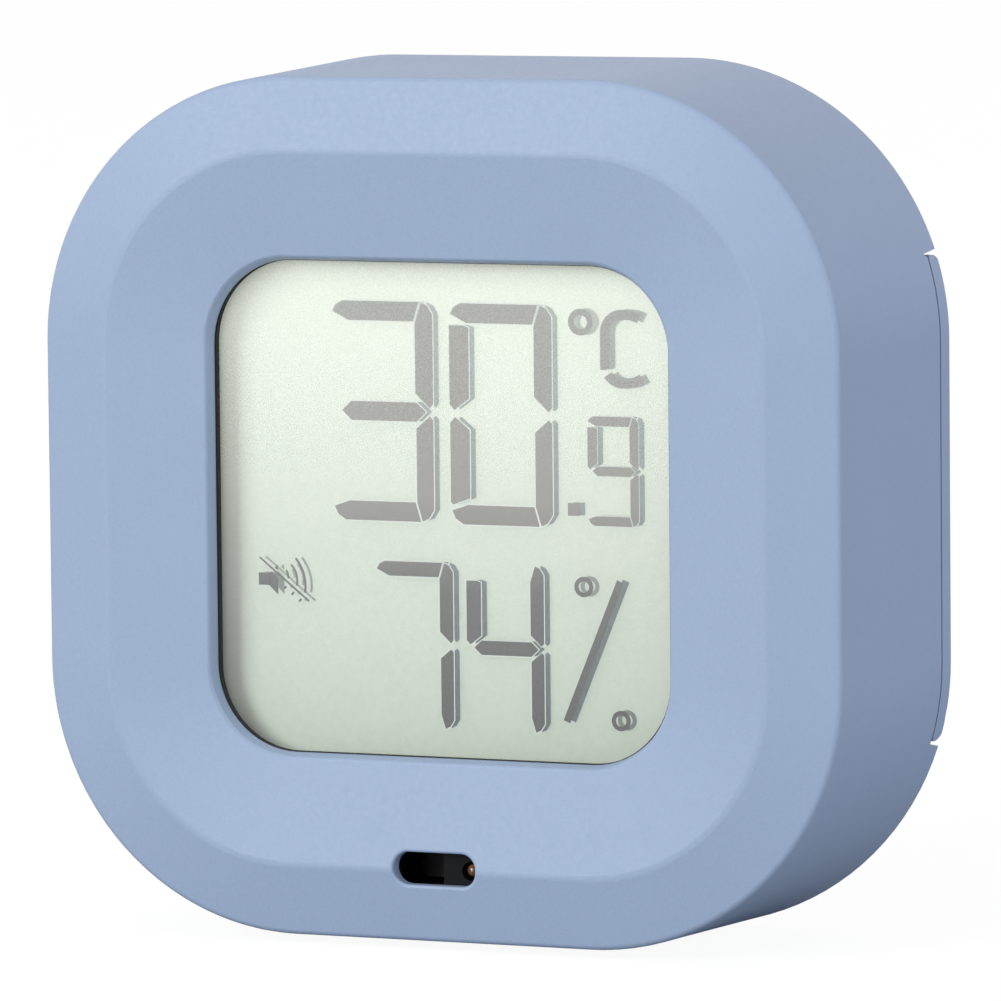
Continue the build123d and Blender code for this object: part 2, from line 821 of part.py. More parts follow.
# Contacts: a bridge on the left, a flat contact and a spring contact on the right
with BuildPart() as bridge_contact:
    with BuildSketch(side_plane(-tray_half_length)):
        draw_contact(0, cell_z + contact_width / 2)
    extrude(amount=contact_thickness)
    bridge_knots = spring_knots(
        -contact_x, -cell_end_x - spring_wire_radius - spring_touch_gap, cell_z
    )
    with BuildLine() as bridge_coil:
        for turn in range(spring_half_turns):
            ThreePointArc(*half_turn(bridge_knots, turn))
    with BuildSketch(Plane(origin=bridge_coil.line @ 0, z_dir=bridge_coil.line % 0)):
        Circle(spring_wire_radius)
    sweep()

with BuildPart() as flat_contact:
    with BuildSketch(side_plane(contact_x)):
        draw_contact(cell_z, contact_width / 2)
        draw_box(
            board_front - contact_tab_tip,
            tray_back + contact_corner,
            cell_z - contact_tab_width / 2,
            cell_z + contact_tab_width / 2,
        )
    extrude(amount=contact_thickness)

with BuildPart() as spring_contact:
    with BuildSketch(side_plane(contact_x)):
        draw_contact(-cell_z, contact_width / 2)
        draw_box(
            board_front - contact_tab_tip,
            tray_back + contact_corner,
            -cell_z - contact_tab_width / 2,
            -cell_z + contact_tab_width / 2,
        )
    extrude(amount=contact_thickness)
    contact_knots = spring_knots(
        contact_x, cell_end_x + spring_wire_radius + spring_touch_gap, -cell_z
    )
    with BuildLine() as contact_coil:
        for turn in range(spring_half_turns):
            ThreePointArc(*half_turn(contact_knots, turn))
    with BuildSketch(Plane(origin=contact_coil.line @ 0, z_dir=contact_coil.line % 0)):
        Circle(spring_wire_radius)
    sweep()

# Buzzer: a round can with its sound hole
with BuildPart() as buzzer:
    with BuildSketch(layer(board_back)):
        with Locations((buzzer_x, buzzer_z)):
            Circle(buzzer_radius)
    extrude(amount=-buzzer_height)
    fillet(at_depth(buzzer.edges(), board_back + buzzer_height), buzzer_edge_round)
    with BuildSketch(layer(board_back + buzzer_height)):
        with Locations((buzzer_x, buzzer_z)):
            Circle(buzzer_hole_radius)
    extrude(amount=buzzer_hole_depth, mode=Mode.SUBTRACT)

# Small parts on the board's back
with BuildPart() as chip_blob:
    with BuildSketch(layer(board_back)):
        with Locations((0, tray_edge + blob_rise)):
            Circle(blob_radius)
    extrude(amount=-blob_height)
    fillet(at_depth(chip_blob.edges(), board_back + blob_height), blob_round)

with BuildPart() as crystal:
    with BuildSketch(side_plane(crystal_x - crystal_length / 2)):
        with Locations((board_back + crystal_gap + crystal_radius, crystal_z)):
            Circle(crystal_radius)
    extrude(amount=crystal_length)
    fillet(crystal.edges().filter_by(GeomType.CIRCLE), crystal_edge_round)

with BuildPart() as board_chips:
    with BuildSketch(layer(board_back)):
        with Locations((-chip_group_x, -tray_edge - chip_group_rise)):
            with GridLocations(chip_pitch_x, chip_pitch_z, chip_columns, chip_rows):
                Rectangle(chip_length, chip_width)
    extrude(amount=-chip_height)

# Sensor holder: its nose fills the slot from behind, with an air hole for the humidity chip and
# a round hole for the temperature bead
with BuildPart() as sensor_holder:
    with BuildSketch(layer(board_front)):
        with Locations((0, slot_z)):
            RectangleRounded(block_length, block_height, block_corner)
    extrude(amount=board_front - front_back)
    with BuildSketch(layer(board_front)):
        with Locations((0, slot_z)):
            RectangleRounded(nose_length, nose_height, nose_corner)
    extrude(amount=board_front - slot_wall)
    with BuildSketch(layer(board_front + overcut)):
        with Locations((-air_hole_x, slot_z)):
            RectangleRounded(air_hole_length, air_hole_height, air_hole_corner)
        with Locations((bead_x, slot_z)):
            Circle(bead_radius + bead_hole_clearance)
    extrude(amount=board_front + 2 * overcut, mode=Mode.SUBTRACT)

with BuildPart() as humidity_chip:
    with BuildSketch(layer(board_front)):
        with Locations((-air_hole_x, slot_z)):
            Rectangle(humidity_size, humidity_size)
    extrude(amount=humidity_height)

# Glass bead of the temperature probe, on two leads through the board
bead_front = slot_wall + bead_front_gap
bead_back = bead_front + bead_length
with BuildPart() as temperature_bead:
    with BuildSketch(side_plane(bead_x)):
        with Locations(((bead_front + bead_back) / 2, slot_z)):
            SlotOverall(bead_length, 2 * bead_radius)
            Rectangle(
                bead_length,
                bead_radius,
                align=(Align.CENTER, Align.MIN),
                mode=Mode.INTERSECT,
            )
    revolve(axis=Axis(point(bead_x, bead_front, slot_z), (0, 1, 0)))
    with BuildSketch(layer(board_back + lead_tip)):
        with Locations(*lead_places):
            Circle(lead_radius)
    extrude(amount=board_back + lead_tip - bead_back + bead_radius)

# Switches: a square base with four feet, and a round plunger that the button pushes
with BuildPart() as unit_switch:
    with BuildSketch(layer(board_back)):
        with Locations((-button_x, top_band_z)):
            RectangleRounded(switch_size, switch_size, switch_corner)
    extrude(amount=-switch_height)
    with BuildSketch(layer(board_back)):
        with Locations(*[(fx - button_x, fz + top_band_z) for fx, fz in foot_places]):
            Rectangle(switch_foot_reach, switch_foot_width)
    extrude(amount=-switch_foot_thickness)
    with BuildSketch(layer(switch_back)):
        with Locations((-button_x, top_band_z)):
            Circle(plunger_radius + plunger_clearance)
    extrude(amount=plunger_depth, mode=Mode.SUBTRACT)

with BuildPart() as alarm_switch:
    add(mirror(unit_switch.part, about=Plane.YZ, mode=Mode.PRIVATE))

with BuildPart() as unit_plunger:
    with BuildSketch(layer(plunger_back)):
        with Locations((-button_x, top_band_z)):
            Circle(plunger_radius)
    extrude(
        amount=plunger_back - switch_back + plunger_depth - button_travel - plunger_floor_gap
    )

with BuildPart() as alarm_plunger:
    add(mirror(unit_plunger.part, about=Plane.YZ, mode=Mode.PRIVATE))

# Buttons: a cap through the cover, a flange that stops it, and a post down to the plunger
with BuildPart() as unit_button:
    with BuildSketch(layer(cover_back + button_proud)):
        with Locations((-button_x, top_band_z)):
            SlotOverall(button_length, button_height)
    extrude(amount=cover_back + button_proud - flange_back)
    fillet(at_depth(unit_button.edges(), cover_back + button_proud), button_round)
    with BuildSketch(layer(flange_back)):
        with Locations((-button_x, top_band_z)):
            SlotOverall(button_length + 2 * flange_margin, button_height + 2 * flange_margin)
    extrude(amount=flange_thickness)
    with BuildSketch(layer(flange_back)):
        with Locations((-button_x, top_band_z)):
            Circle(button_post_radius)
    extrude(amount=flange_back - plunger_back)

with BuildPart() as alarm_button:
    add(mirror(unit_button.part, about=Plane.YZ, mode=Mode.PRIVATE))

os.makedirs("parts", exist_ok=True)

front_housing.part.label = "front_housing"
export_step(front_housing.part, "parts/front_housing.step")
display_gasket.part.label = "display_gasket"
export_step(display_gasket.part, "parts/display_gasket.step")
display_front_glass.part.label = "display_front_glass"
export_step(display_front_glass.part, "parts/display_front_glass.step")
display_rear_glass.part.label = "display_rear_glass"
export_step(display_rear_glass.part, "parts/display_rear_glass.step")
display_reflector.part.label = "display_reflector"
export_step(display_reflector.part, "parts/display_reflector.step")
display_holder.part.label = "display_holder"
export_step(display_holder.part, "parts/display_holder.step")
display_connector.part.label = "display_connector"
export_step(display_connector.part, "parts/display_connector.step")
circuit_board.part.label = "circuit_board"
export_step(circuit_board.part, "parts/circuit_board.step")
cover_screws.part.label = "cover_screws"
export_step(cover_screws.part, "parts/cover_screws.step")
board_screws.part.label = "board_screws"
export_step(board_screws.part, "parts/board_screws.step")
back_cover.part.label = "back_cover"
export_step(back_cover.part, "parts/back_cover.step")
battery_cover.part.label = "battery_cover"
export_step(battery_cover.part, "parts/battery_cover.step")
hinge_pins.part.label = "hinge_pins"
export_step(hinge_pins.part, "parts/hinge_pins.step")
table_stand.part.label = "table_stand"
export_step(table_stand.part, "parts/table_stand.step")
upper_cell.part.label = "upper_cell"
export_step(upper_cell.part, "parts/upper_cell.step")
lower_cell.part.label = "lower_cell"
export_step(lower_cell.part, "parts/lower_cell.step")
bridge_contact.part.label = "bridge_contact"
export_step(bridge_contact.part, "parts/bridge_contact.step")
flat_contact.part.label = "flat_contact"
export_step(flat_contact.part, "parts/flat_contact.step")
spring_contact.part.label = "spring_contact"
export_step(spring_contact.part, "parts/spring_contact.step")
buzzer.part.label = "buzzer"
export_step(buzzer.part, "parts/buzzer.step")
chip_blob.part.label = "chip_blob"
export_step(chip_blob.part, "parts/chip_blob.step")
crystal.part.label = "crystal"
export_step(crystal.part, "parts/crystal.step")
board_chips.part.label = "board_chips"
export_step(board_chips.part, "parts/board_chips.step")
sensor_holder.part.label = "sensor_holder"
export_step(sensor_holder.part, "parts/sensor_holder.step")
humidity_chip.part.label = "humidity_chip"
export_step(humidity_chip.part, "parts/humidity_chip.step")
temperature_bead.part.label = "temperature_bead"
export_step(temperature_bead.part, "parts/temperature_bead.step")
unit_switch.part.label = "unit_switch"
export_step(unit_switch.part, "parts/unit_switch.step")
alarm_switch.part.label = "alarm_switch"
export_step(alarm_switch.part, "parts/alarm_switch.step")
unit_plunger.part.label = "unit_plunger"
export_step(unit_plunger.part, "parts/unit_plunger.step")
alarm_plunger.part.label = "alarm_plunger"
export_step(alarm_plunger.part, "parts/alarm_plunger.step")
unit_button.part.label = "unit_button"
export_step(unit_button.part, "parts/unit_button.step")
alarm_button.part.label = "alarm_button"
export_step(alarm_button.part, "parts/alarm_button.step")
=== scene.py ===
import logging
from collections.abc import Callable, Iterable, Sequence
from dataclasses import dataclass
from enum import Enum
from math import atan2, cos, degrees, hypot, pi, radians, sin

import bpy
from mathutils import Matrix, Vector


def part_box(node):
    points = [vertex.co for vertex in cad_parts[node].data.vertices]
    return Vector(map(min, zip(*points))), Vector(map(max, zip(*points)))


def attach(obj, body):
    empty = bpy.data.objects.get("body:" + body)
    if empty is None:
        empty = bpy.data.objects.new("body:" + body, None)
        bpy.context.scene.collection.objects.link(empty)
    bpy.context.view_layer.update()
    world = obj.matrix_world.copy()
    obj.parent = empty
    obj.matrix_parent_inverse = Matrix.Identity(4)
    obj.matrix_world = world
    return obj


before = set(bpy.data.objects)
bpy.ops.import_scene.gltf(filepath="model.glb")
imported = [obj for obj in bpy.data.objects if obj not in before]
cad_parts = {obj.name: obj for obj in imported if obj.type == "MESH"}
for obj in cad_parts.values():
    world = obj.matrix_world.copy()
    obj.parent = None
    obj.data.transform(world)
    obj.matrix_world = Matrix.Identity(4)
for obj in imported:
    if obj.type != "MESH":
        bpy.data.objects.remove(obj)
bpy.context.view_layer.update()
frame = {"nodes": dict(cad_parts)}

log = logging.getLogger("room_thermometer")

MM = 0.001
Colour = tuple[float, float, float]
Point = tuple[float, float]
Socket = bpy.types.NodeSocket
Piece = bpy.types.Object

BLACK = (0.0, 0.0, 0.0)
WHITE = (1.0, 1.0, 1.0)
INK_RISE = 0.00006  # from the rear glass forward to the ink
PAINTED_SHADOW_RISE = 0.00018  # from the reflector forward to the painted shadow of the ink
STAND_GAP = 0.0002  # from the folded stand to the battery cover
RING_SIDES = 40
BEND_STEP = 7  # about how many degrees of a bend one straight step takes up


def srgb(red: int, green: int, blue: int) -> Colour:
    """Returns the linear colour of a colour given from 0 to 255 as a screen shows it."""
    shares = (value / 255 for value in (red, green, blue))
    return tuple(
        share / 12.92 if share <= 0.04045 else ((share + 0.055) / 1.055) ** 2.4
        for share in shares
    )


def shade(colour: Colour, factor: float) -> Colour:
    """Returns the colour made lighter or darker by a factor."""
    return tuple(min(1.0, part * factor) for part in colour)


BODY_BLUE = srgb(160, 178, 206)


# Node trees


class Tree:
    """The node tree of a material or of the world, filled node by node."""

    def __init__(self, owner: bpy.types.ID) -> None:
        """Takes the owner's tree and empties it."""
        owner.use_nodes = True
        self.tree = owner.node_tree
        self.tree.nodes.clear()

    def feed(self, target: Socket, value: object) -> None:
        """Joins an input to a socket, or sets it to a number, a vector or a colour."""
        if isinstance(value, bpy.types.NodeSocket):
            self.tree.links.new(value, target)
        elif isinstance(value, tuple) and len(value) == 3 and target.type == "RGBA":
            target.default_value = (*value, 1.0)
        else:
            target.default_value = value

    def add(
        self, kind: str, inputs: dict[int | str, object] | None = None, **settings: object
    ) -> bpy.types.Node:
        """Adds a node.

        Args:
            kind: The node's type.
            inputs: What its inputs get, by their name or number.
            **settings: The node's own settings.

        Returns:
            The node.
        """
        node = self.tree.nodes.new(kind)
        for name, value in settings.items():
            setattr(node, name, value)
        for key, value in (inputs or {}).items():
            self.feed(node.inputs[key], value)
        return node


class Graph(Tree):
    """The node tree of one material, round a Principled shader."""

    def __init__(self, name: str) -> None:
        """Starts a material of this name, with its shader joined to the output."""
        self.material = bpy.data.materials.new(name)
        super().__init__(self.material)
        self.shader = self.add("ShaderNodeBsdfPrincipled")
        self.add("ShaderNodeOutputMaterial", {"Surface": self.shader.outputs["BSDF"]})
        self.place = self.add("ShaderNodeTexCoord").outputs["Object"]

    def set(self, **sockets: object) -> None:
        """Fills the shader's inputs by name, with underscores for spaces."""
        for name, value in sockets.items():
            self.feed(self.shader.inputs[name.replace("_", " ")], value)

    def noise(
        self, size: float, detail: float = 2.0, stretch: tuple[float, float, float] | None = None
    ) -> Socket:
        """Adds a noise pattern.

        Args:
            size: The size of its grains, in metres.
            detail: How many finer layers it has.
            stretch: How the pattern is scaled along each axis, if it isn't even.

        Returns:
            The pattern's height, from 0 to 1.
        """
        where = self.place
        if stretch:
            where = self.add("ShaderNodeMapping", {"Scale": stretch, "Vector": where}).outputs[0]
        inputs = {"Scale": 1 / size, "Detail": detail, "Vector": where}
        return self.add("ShaderNodeTexNoise", inputs).outputs["Fac"]

    def cells(self, size: float) -> Socket:
        """Returns the distance field of a cell pattern whose cells have this size in metres."""
        inputs = {"Scale": 1 / size, "Vector": self.place}
        return self.add("ShaderNodeTexVoronoi", inputs).outputs["Distance"]

    def stripes(self, pitch: float, direction: str) -> Socket:
        """Returns bands of this pitch in metres that follow one another along X, Y or Z."""
        inputs = {"Scale": pi / (10 * pitch), "Vector": self.place}
        return self.add("ShaderNodeTexWave", inputs, bands_direction=direction).outputs["Fac"]

    def axis(self, name: str) -> Socket:
        """Returns one of the object's coordinates, X, Y or Z, in metres."""
        return self.add("ShaderNodeSeparateXYZ", {0: self.place}).outputs[name]

    def levels(
        self, value: Socket, low: float, high: float, start: float = 0.0, end: float = 1.0
    ) -> Socket:
        """Carries a value from one range into another, clamped at both ends.

        Args:
            value: The value to carry.
            low: Where the old range starts.
            high: Where the old range ends.
            start: Where the new range starts.
            end: Where the new range ends.

        Returns:
            The carried value.
        """
        ends = {"From Min": low, "From Max": high, "To Min": start, "To Max": end}
        return self.add("ShaderNodeMapRange", {"Value": value, **ends}).outputs["Result"]

    def sum(self, kind: str, first: object, second: object = 0.0) -> Socket:
        """Returns a sum, such as ADD or GREATER_THAN, of two sockets or numbers."""
        return self.add("ShaderNodeMath", {0: first, 1: second}, operation=kind).outputs[0]

    def blend(self, share: object, first: object, second: object) -> Socket:
        """Returns two colours blended by the share of the second; each may be a socket."""
        inputs = {0: share, 6: first, 7: second}
        return self.add("ShaderNodeMix", inputs, data_type="RGBA").outputs[2]

    def drift(self, share: Socket, colour: Colour, low: float, high: float) -> Socket:
        """Returns a colour that goes from darker to lighter with the share.

        Args:
            share: Where between the two it is, from 0 to 1.
            colour: The colour.
            low: The factor at 0.
            high: The factor at 1.

        Returns:
            The colour's socket.
        """
        return self.blend(share, shade(colour, low), shade(colour, high))

    def ramp(self, value: Socket, stops: Sequence[tuple[float, Colour]]) -> Socket:
        """Reads a colour from a row of colours.

        Args:
            value: Where on the row to read, from 0 to 1.
            stops: The places and colours of the row.

        Returns:
            The colour.
        """
        node = self.add("ShaderNodeValToRGB", {"Fac": value})
        elements = node.color_ramp.elements
        while len(elements) < len(stops):
            elements.new(1.0)
        for element, (place, colour) in zip(elements, stops):
            element.position = place
            element.color = (*colour, 1.0)
        return node.outputs["Color"]

    def relief(
        self, height: Socket, depth: float, strength: float = 1.0, under: Socket | None = None
    ) -> Socket:
        """Turns a pattern into raised relief.

        Args:
            height: The pattern.
            depth: How far it rises, in metres.
            strength: How strongly it shows, from 0 to 1.
            under: The relief that this one lies on, if any.

        Returns:
            The surface's new direction.
        """
        inputs = {"Strength": strength, "Distance": depth, "Height": height}
        if under is not None:
            inputs["Normal"] = under
        return self.add("ShaderNodeBump", inputs).outputs["Normal"]


# Finishes


@dataclass(frozen=True)
class Finish:
    """A finish by name, from which each kind of surface is made.

    Attributes:
        name: The material's name.
    """

    name: str

    def material(self) -> bpy.types.Material:
        """Returns the finish as a material."""
        graph = Graph(self.name)
        self.fill(graph)
        return graph.material

    def fill(self, graph: Graph) -> None:
        """Fills the material's nodes."""
        raise NotImplementedError


@dataclass(frozen=True)
class Moulding(Finish):
    """Moulded plastic with a spark-eroded grain.

    Attributes:
        colour: Its colour.
        cloud: How far the colour drifts over the part, as a share.
        speck: How far it differs from grain to grain, as a share.
        grain: The size of a grain, in metres.
        depth: The height of the grain, in metres.
        roughness: Its mean roughness.
        swing: How far the roughness differs from place to place.
        gloss: How strongly it mirrors, 0.5 for plain plastic.
        pits: The size of a pit, in grains.
        clouds: The size of a patch of drifted colour, in metres.
        waves: The size of the soft waves in its surface, in metres.
    """

    colour: Colour
    cloud: float = 0.02
    speck: float = 0.03
    grain: float = 0.00019
    depth: float = 0.000006
    roughness: float = 0.5
    swing: float = 0.08
    gloss: float = 0.5
    pits: float = 2.3
    clouds: float = 0.011
    waves: float = 0.0016

    def fill(self, graph: Graph) -> None:
        """Fills the material's nodes."""
        grain = graph.noise(self.grain, 3.0)
        pits = graph.cells(self.grain * self.pits)
        clouds = graph.levels(graph.noise(self.clouds, 3.0), 0.3, 0.7)
        base = graph.drift(clouds, self.colour, 1 - self.cloud, 1 + self.cloud)
        specks = graph.levels(grain, 0.32, 0.68)
        tint = graph.drift(specks, self.colour, 1 - self.speck, 1 + self.speck)
        low, high = self.roughness - self.swing, self.roughness + self.swing
        soft = graph.relief(graph.noise(self.waves, 2.0), self.depth * 1.4, 0.35)
        pitted = graph.relief(pits, self.depth * 0.7, 0.5, soft)
        graph.set(
            Base_Color=graph.blend(0.5, base, tint),
            Roughness=graph.levels(graph.sum("ADD", grain, pits), 0.4, 1.5, low, high),
            Specular_IOR_Level=self.gloss,
            Normal=graph.relief(grain, self.depth, 0.8, pitted),
        )


@dataclass(frozen=True)
class Metal(Finish):
    """Bare or plated metal with drawing or rolling marks along one axis.

    Attributes:
        colour: Its colour.
        stretch: How the marks are scaled along each axis.
        marks: The width of a mark, in metres.
        depth: The height of the marks, in metres.
        roughness: Its least roughness.
        stain: The colour of the duller patches.
        patches: The size of those, in metres.
    """

    colour: Colour
    stretch: tuple[float, float, float] = (1.0, 1.0, 1.0)
    marks: float = 0.00012
    depth: float = 0.000003
    roughness: float = 0.28
    stain: Colour = (0.42, 0.40, 0.36)
    patches: float = 0.0022

    def fill(self, graph: Graph) -> None:
        """Fills the material's nodes."""
        marks = graph.noise(self.marks, 3.0, self.stretch)
        patches = graph.levels(graph.noise(self.patches, 4.0), 0.5, 0.75, 0.0, 0.45)
        both = graph.sum("ADD", marks, patches)
        graph.set(
            Base_Color=graph.blend(patches, self.colour, self.stain),
            Metallic=1.0,
            Roughness=graph.levels(both, 0.3, 1.3, self.roughness, self.roughness + 0.28),
            Normal=graph.relief(marks, self.depth, 0.6),
        )


@dataclass(frozen=True)
class DisplayGlass(Finish):
    """Clear display glass, with a hazy anti-glare film on its front where it has one; the film
    shows more towards the display's top, which is a painted reflection of light from above.

    Attributes:
        colour: The colour of the film and of its painted reflection.
        clear: How much of the glass itself shows, from 0 to 1.
        haze_and_glare_top: How much of the film and its painted reflection shows at the display's
            top, from 0 to 1.
        haze_and_glare_foot: How much of the film and its painted reflection shows at the display's
            foot, from 0 to 1.
        front: Where the film ends, in metres along Y.
        foot_height: The height of the foot, in metres.
        top_height: The height of the top, in metres.
        roughness: The roughness of the film.
        sparkle: The size of the film's grains, in metres.
    """

    colour: Colour
    clear: float
    haze_and_glare_top: float
    haze_and_glare_foot: float
    front: float
    foot_height: float
    top_height: float
    roughness: float = 0.4
    sparkle: float = 0.00013

    def fill(self, graph: Graph) -> None:
        """Fills the material's nodes."""
        grain = graph.noise(self.sparkle, 2.0)
        film = graph.sum("LESS_THAN", graph.axis("Y"), self.front)
        # Painted reflection: the film shows more from the display's foot to its top.
        haze_and_glare = graph.levels(
            graph.axis("Z"), self.foot_height, self.top_height, self.haze_and_glare_foot, self.haze_and_glare_top
        )
        grainy = graph.sum("MULTIPLY", haze_and_glare, graph.levels(grain, 0.3, 0.7, 0.86, 1.14))
        graph.set(
            Base_Color=graph.drift(graph.levels(grain, 0.35, 0.65), self.colour, 0.95, 1.04),
            Roughness=graph.levels(grain, 0.3, 0.7, self.roughness - 0.06, self.roughness + 0.06),
            Alpha=graph.sum("ADD", graph.sum("MULTIPLY", film, grainy), self.clear),
            Normal=graph.relief(grain, 0.000002, 0.5),
        )


@dataclass(frozen=True)
class ReflectorFilm(Finish):
    """The diffuse film behind the display, paler towards its top and darker and greener towards its
    foot, which is painted shade, with a painted glow towards its top.

    Attributes:
        top: The colour at the top.
        middle: The colour at mid-height.
        foot: The colour at the foot.
        foot_height: The height of the foot, in metres.
        top_height: The height of the top, in metres.
        painted_glow: The colour of the painted glow that it gives off at its top, beyond what a
            plain white surface gives back, though it is no lamp.
        speckle: The size of its finest grains, in metres.
        mottle: The size of its patches, in metres.
    """

    top: Colour
    middle: Colour
    foot: Colour
    foot_height: float
    top_height: float
    painted_glow: Colour
    speckle: float = 0.00016
    mottle: float = 0.0006

    def fill(self, graph: Graph) -> None:
        """Fills the material's nodes."""
        speckle = graph.noise(self.speckle, 2.0)
        mottle = graph.noise(self.mottle, 3.0)
        climb = graph.levels(graph.axis("Z"), self.foot_height, self.top_height)
        # Painted shade: the film darkens from its top to its foot.
        painted_shade_fade = graph.ramp(climb, [(0.0, self.foot), (0.5, self.middle), (1.0, self.top)])
        fleck = graph.levels(graph.sum("ADD", speckle, mottle), 0.75, 1.25)
        # Painted glow: the film gives off light, most at its top and none at its foot.
        painted_glow_rise = [(0.0, BLACK), (0.45, shade(self.painted_glow, 0.3)), (1.0, self.painted_glow)]
        graph.set(
            Base_Color=graph.blend(fleck, graph.blend(0.94, BLACK, painted_shade_fade), painted_shade_fade),
            Emission_Color=graph.ramp(climb, painted_glow_rise),
            Emission_Strength=1.0,
            Roughness=graph.levels(speckle, 0.3, 0.7, 0.55, 0.75),
            Specular_IOR_Level=0.1,
            Normal=graph.relief(speckle, 0.000004, 0.5),
        )


@dataclass(frozen=True)
class SegmentInk(Finish):
    """A see-through tint, for the ink between the glasses and for the painted shadows on the
    reflector, darker low down on the display, which is painted shade.

    Attributes:
        upper: The colour of the upper row.
        lower: The colour of the lower row's feet.
        cover: How much of the tint shows in the upper row, from 0 to 1.
        cover_low: How much of it shows in the lower row.
        low: The height where the darkening ends, in metres.
        high: The height where it starts, in metres.
    """

    upper: Colour
    lower: Colour
    cover: float
    cover_low: float
    low: float = 0.0265
    high: float = 0.0335

    def fill(self, graph: Graph) -> None:
        """Fills the material's nodes."""
        climb = graph.levels(graph.axis("Z"), self.low, self.high)
        grain = graph.noise(0.00018, 2.0)
        # Painted shade: darker towards the display's foot.
        body = graph.blend(climb, self.lower, self.upper)
        fleck = graph.levels(grain, 0.3, 0.7, 0.0, 0.1)
        graph.set(
            Base_Color=graph.blend(fleck, body, shade(self.upper, 1.3)),
            Roughness=graph.levels(grain, 0.3, 0.7, 0.45, 0.6),
            Alpha=graph.levels(climb, 0.0, 1.0, self.cover_low, self.cover),
        )


@dataclass(frozen=True)
class Foam(Finish):
    """Closed-cell foam or soft rubber.

    Attributes:
        colour: Its colour.
        cell: The size of its cells, in metres.
    """

    colour: Colour
    cell: float = 0.00025

    def fill(self, graph: Graph) -> None:
        """Fills the material's nodes."""
        cells = graph.cells(self.cell)
        graph.set(
            Base_Color=graph.drift(graph.levels(cells, 0.1, 0.7), self.colour, 0.6, 1.4),
            Roughness=graph.levels(cells, 0.0, 0.8, 0.75, 0.95),
            Normal=graph.relief(cells, 0.00003, 0.7),
        )


@dataclass(frozen=True)
class LayeredRubber(Finish):
    """The display's connector, carbon layers between clear silicone ones along its length.

    Attributes:
        silicone: The colour of the silicone.
        carbon: The colour of the carbon layers.
        pitch: The distance from layer to layer, in metres.
    """

    silicone: Colour
    carbon: Colour
    pitch: float = 0.0004

    def fill(self, graph: Graph) -> None:
        """Fills the material's nodes."""
        layers = graph.stripes(self.pitch, "X")
        graph.set(
            Base_Color=graph.blend(graph.levels(layers, 0.45, 0.55), self.carbon, self.silicone),
            Roughness=graph.levels(graph.noise(0.0003), 0.3, 0.7, 0.5, 0.7),
            Normal=graph.relief(layers, 0.000004, 0.4),
        )


@dataclass(frozen=True)
class BoardMask(Finish):
    """Solder mask over copper tracks on a glass-fibre board.

    Attributes:
        mask: The colour of the mask over bare board.
        track: The colour of the mask over copper.
        weave: The pitch of the glass weave, in metres.
        tracks: The pitch of the tracks, in metres.
        region: The size of an area whose tracks run one way, in metres.
    """

    mask: Colour
    track: Colour
    weave: float = 0.0005
    tracks: float = 0.0013
    region: float = 0.0065

    def fill(self, graph: Graph) -> None:
        """Fills the material's nodes."""
        region = graph.sum("GREATER_THAN", graph.noise(self.region, 0.0), 0.52)
        lines = []
        for way, where in (("X", region), ("Z", graph.sum("SUBTRACT", 1.0, region))):
            line = graph.sum("GREATER_THAN", graph.stripes(self.tracks, way), 0.72)
            lines.append(graph.sum("MULTIPLY", line, where))
        tracks = graph.sum("ADD", *lines)
        weave = graph.sum("ADD", graph.stripes(self.weave, "X"), graph.stripes(self.weave, "Z"))
        graph.set(
            Base_Color=graph.blend(tracks, self.mask, self.track),
            Roughness=graph.levels(graph.noise(0.0009), 0.3, 0.7, 0.22, 0.38),
            Coat_Weight=0.3,
            Normal=graph.relief(tracks, 0.00002, 0.5, graph.relief(weave, 0.000004, 0.3)),
        )


@dataclass(frozen=True)
class CellJacket(Finish):
    """A cell's printed jacket between bare metal ends, with a paler ring at its plus end.

    Attributes:
        jacket: The colour of the jacket.
        ring: The colour of the ring.
        metal: The colour of the bare ends and of the printed marks.
        middle: The cell's middle along X and Z, in metres.
        half_length: Half of the cell's length, in metres.
        turn: 1 if its plus end points to the right, -1 if to the left.
        bare_length: How much of each end is bare, in metres.
        ring_start: Where the ring starts, in metres from the cell's middle.
        plus_place: Where the plus mark is, in metres from the cell's middle.
        minus_place: Where the minus mark is.
        mark_half: Half of a mark's length and half of its width, in metres.
    """

    jacket: Colour
    ring: Colour
    metal: Colour
    middle: Point
    half_length: float
    turn: float
    bare_length: float = 0.0012
    ring_start: float = 0.0105
    plus_place: float = 0.015
    minus_place: float = -0.017
    mark_half: Point = (0.0014, 0.0003)

    def fill(self, graph: Graph) -> None:
        """Fills the material's nodes."""
        offset = graph.sum("SUBTRACT", graph.axis("X"), self.middle[0])
        along = graph.sum("MULTIPLY", offset, self.turn)
        bare_start = self.half_length - self.bare_length
        bare = graph.sum("GREATER_THAN", graph.sum("ABSOLUTE", along), bare_start)
        ringed = graph.sum("GREATER_THAN", along, self.ring_start)
        up = graph.sum("ABSOLUTE", graph.sum("SUBTRACT", graph.axis("Z"), self.middle[1]))
        marks: object = 0.0
        long, short = self.mark_half
        bars = (
            (self.plus_place, long, short), (self.plus_place, short, long),
            (self.minus_place, long, short),
        )
        for place, reach, height in bars:
            across = graph.sum("ABSOLUTE", graph.sum("SUBTRACT", along, place))
            inside = graph.sum("LESS_THAN", across, reach)
            bar = graph.sum("MULTIPLY", inside, graph.sum("LESS_THAN", up, height))
            marks = graph.sum("MAXIMUM", marks, bar)
        scuff = graph.noise(0.0008, 3.0)
        printed = graph.blend(marks, graph.blend(ringed, self.jacket, self.ring), self.metal)
        wear_share = graph.levels(scuff, 0.58, 0.8, 0.0, 0.25)
        worn = graph.blend(wear_share, printed, shade(self.ring, 0.8))
        graph.set(
            Base_Color=graph.blend(bare, worn, self.metal),
            Metallic=bare,
            Roughness=graph.levels(scuff, 0.3, 0.7, 0.28, 0.42),
            Normal=graph.relief(scuff, 0.000004, 0.4),
        )


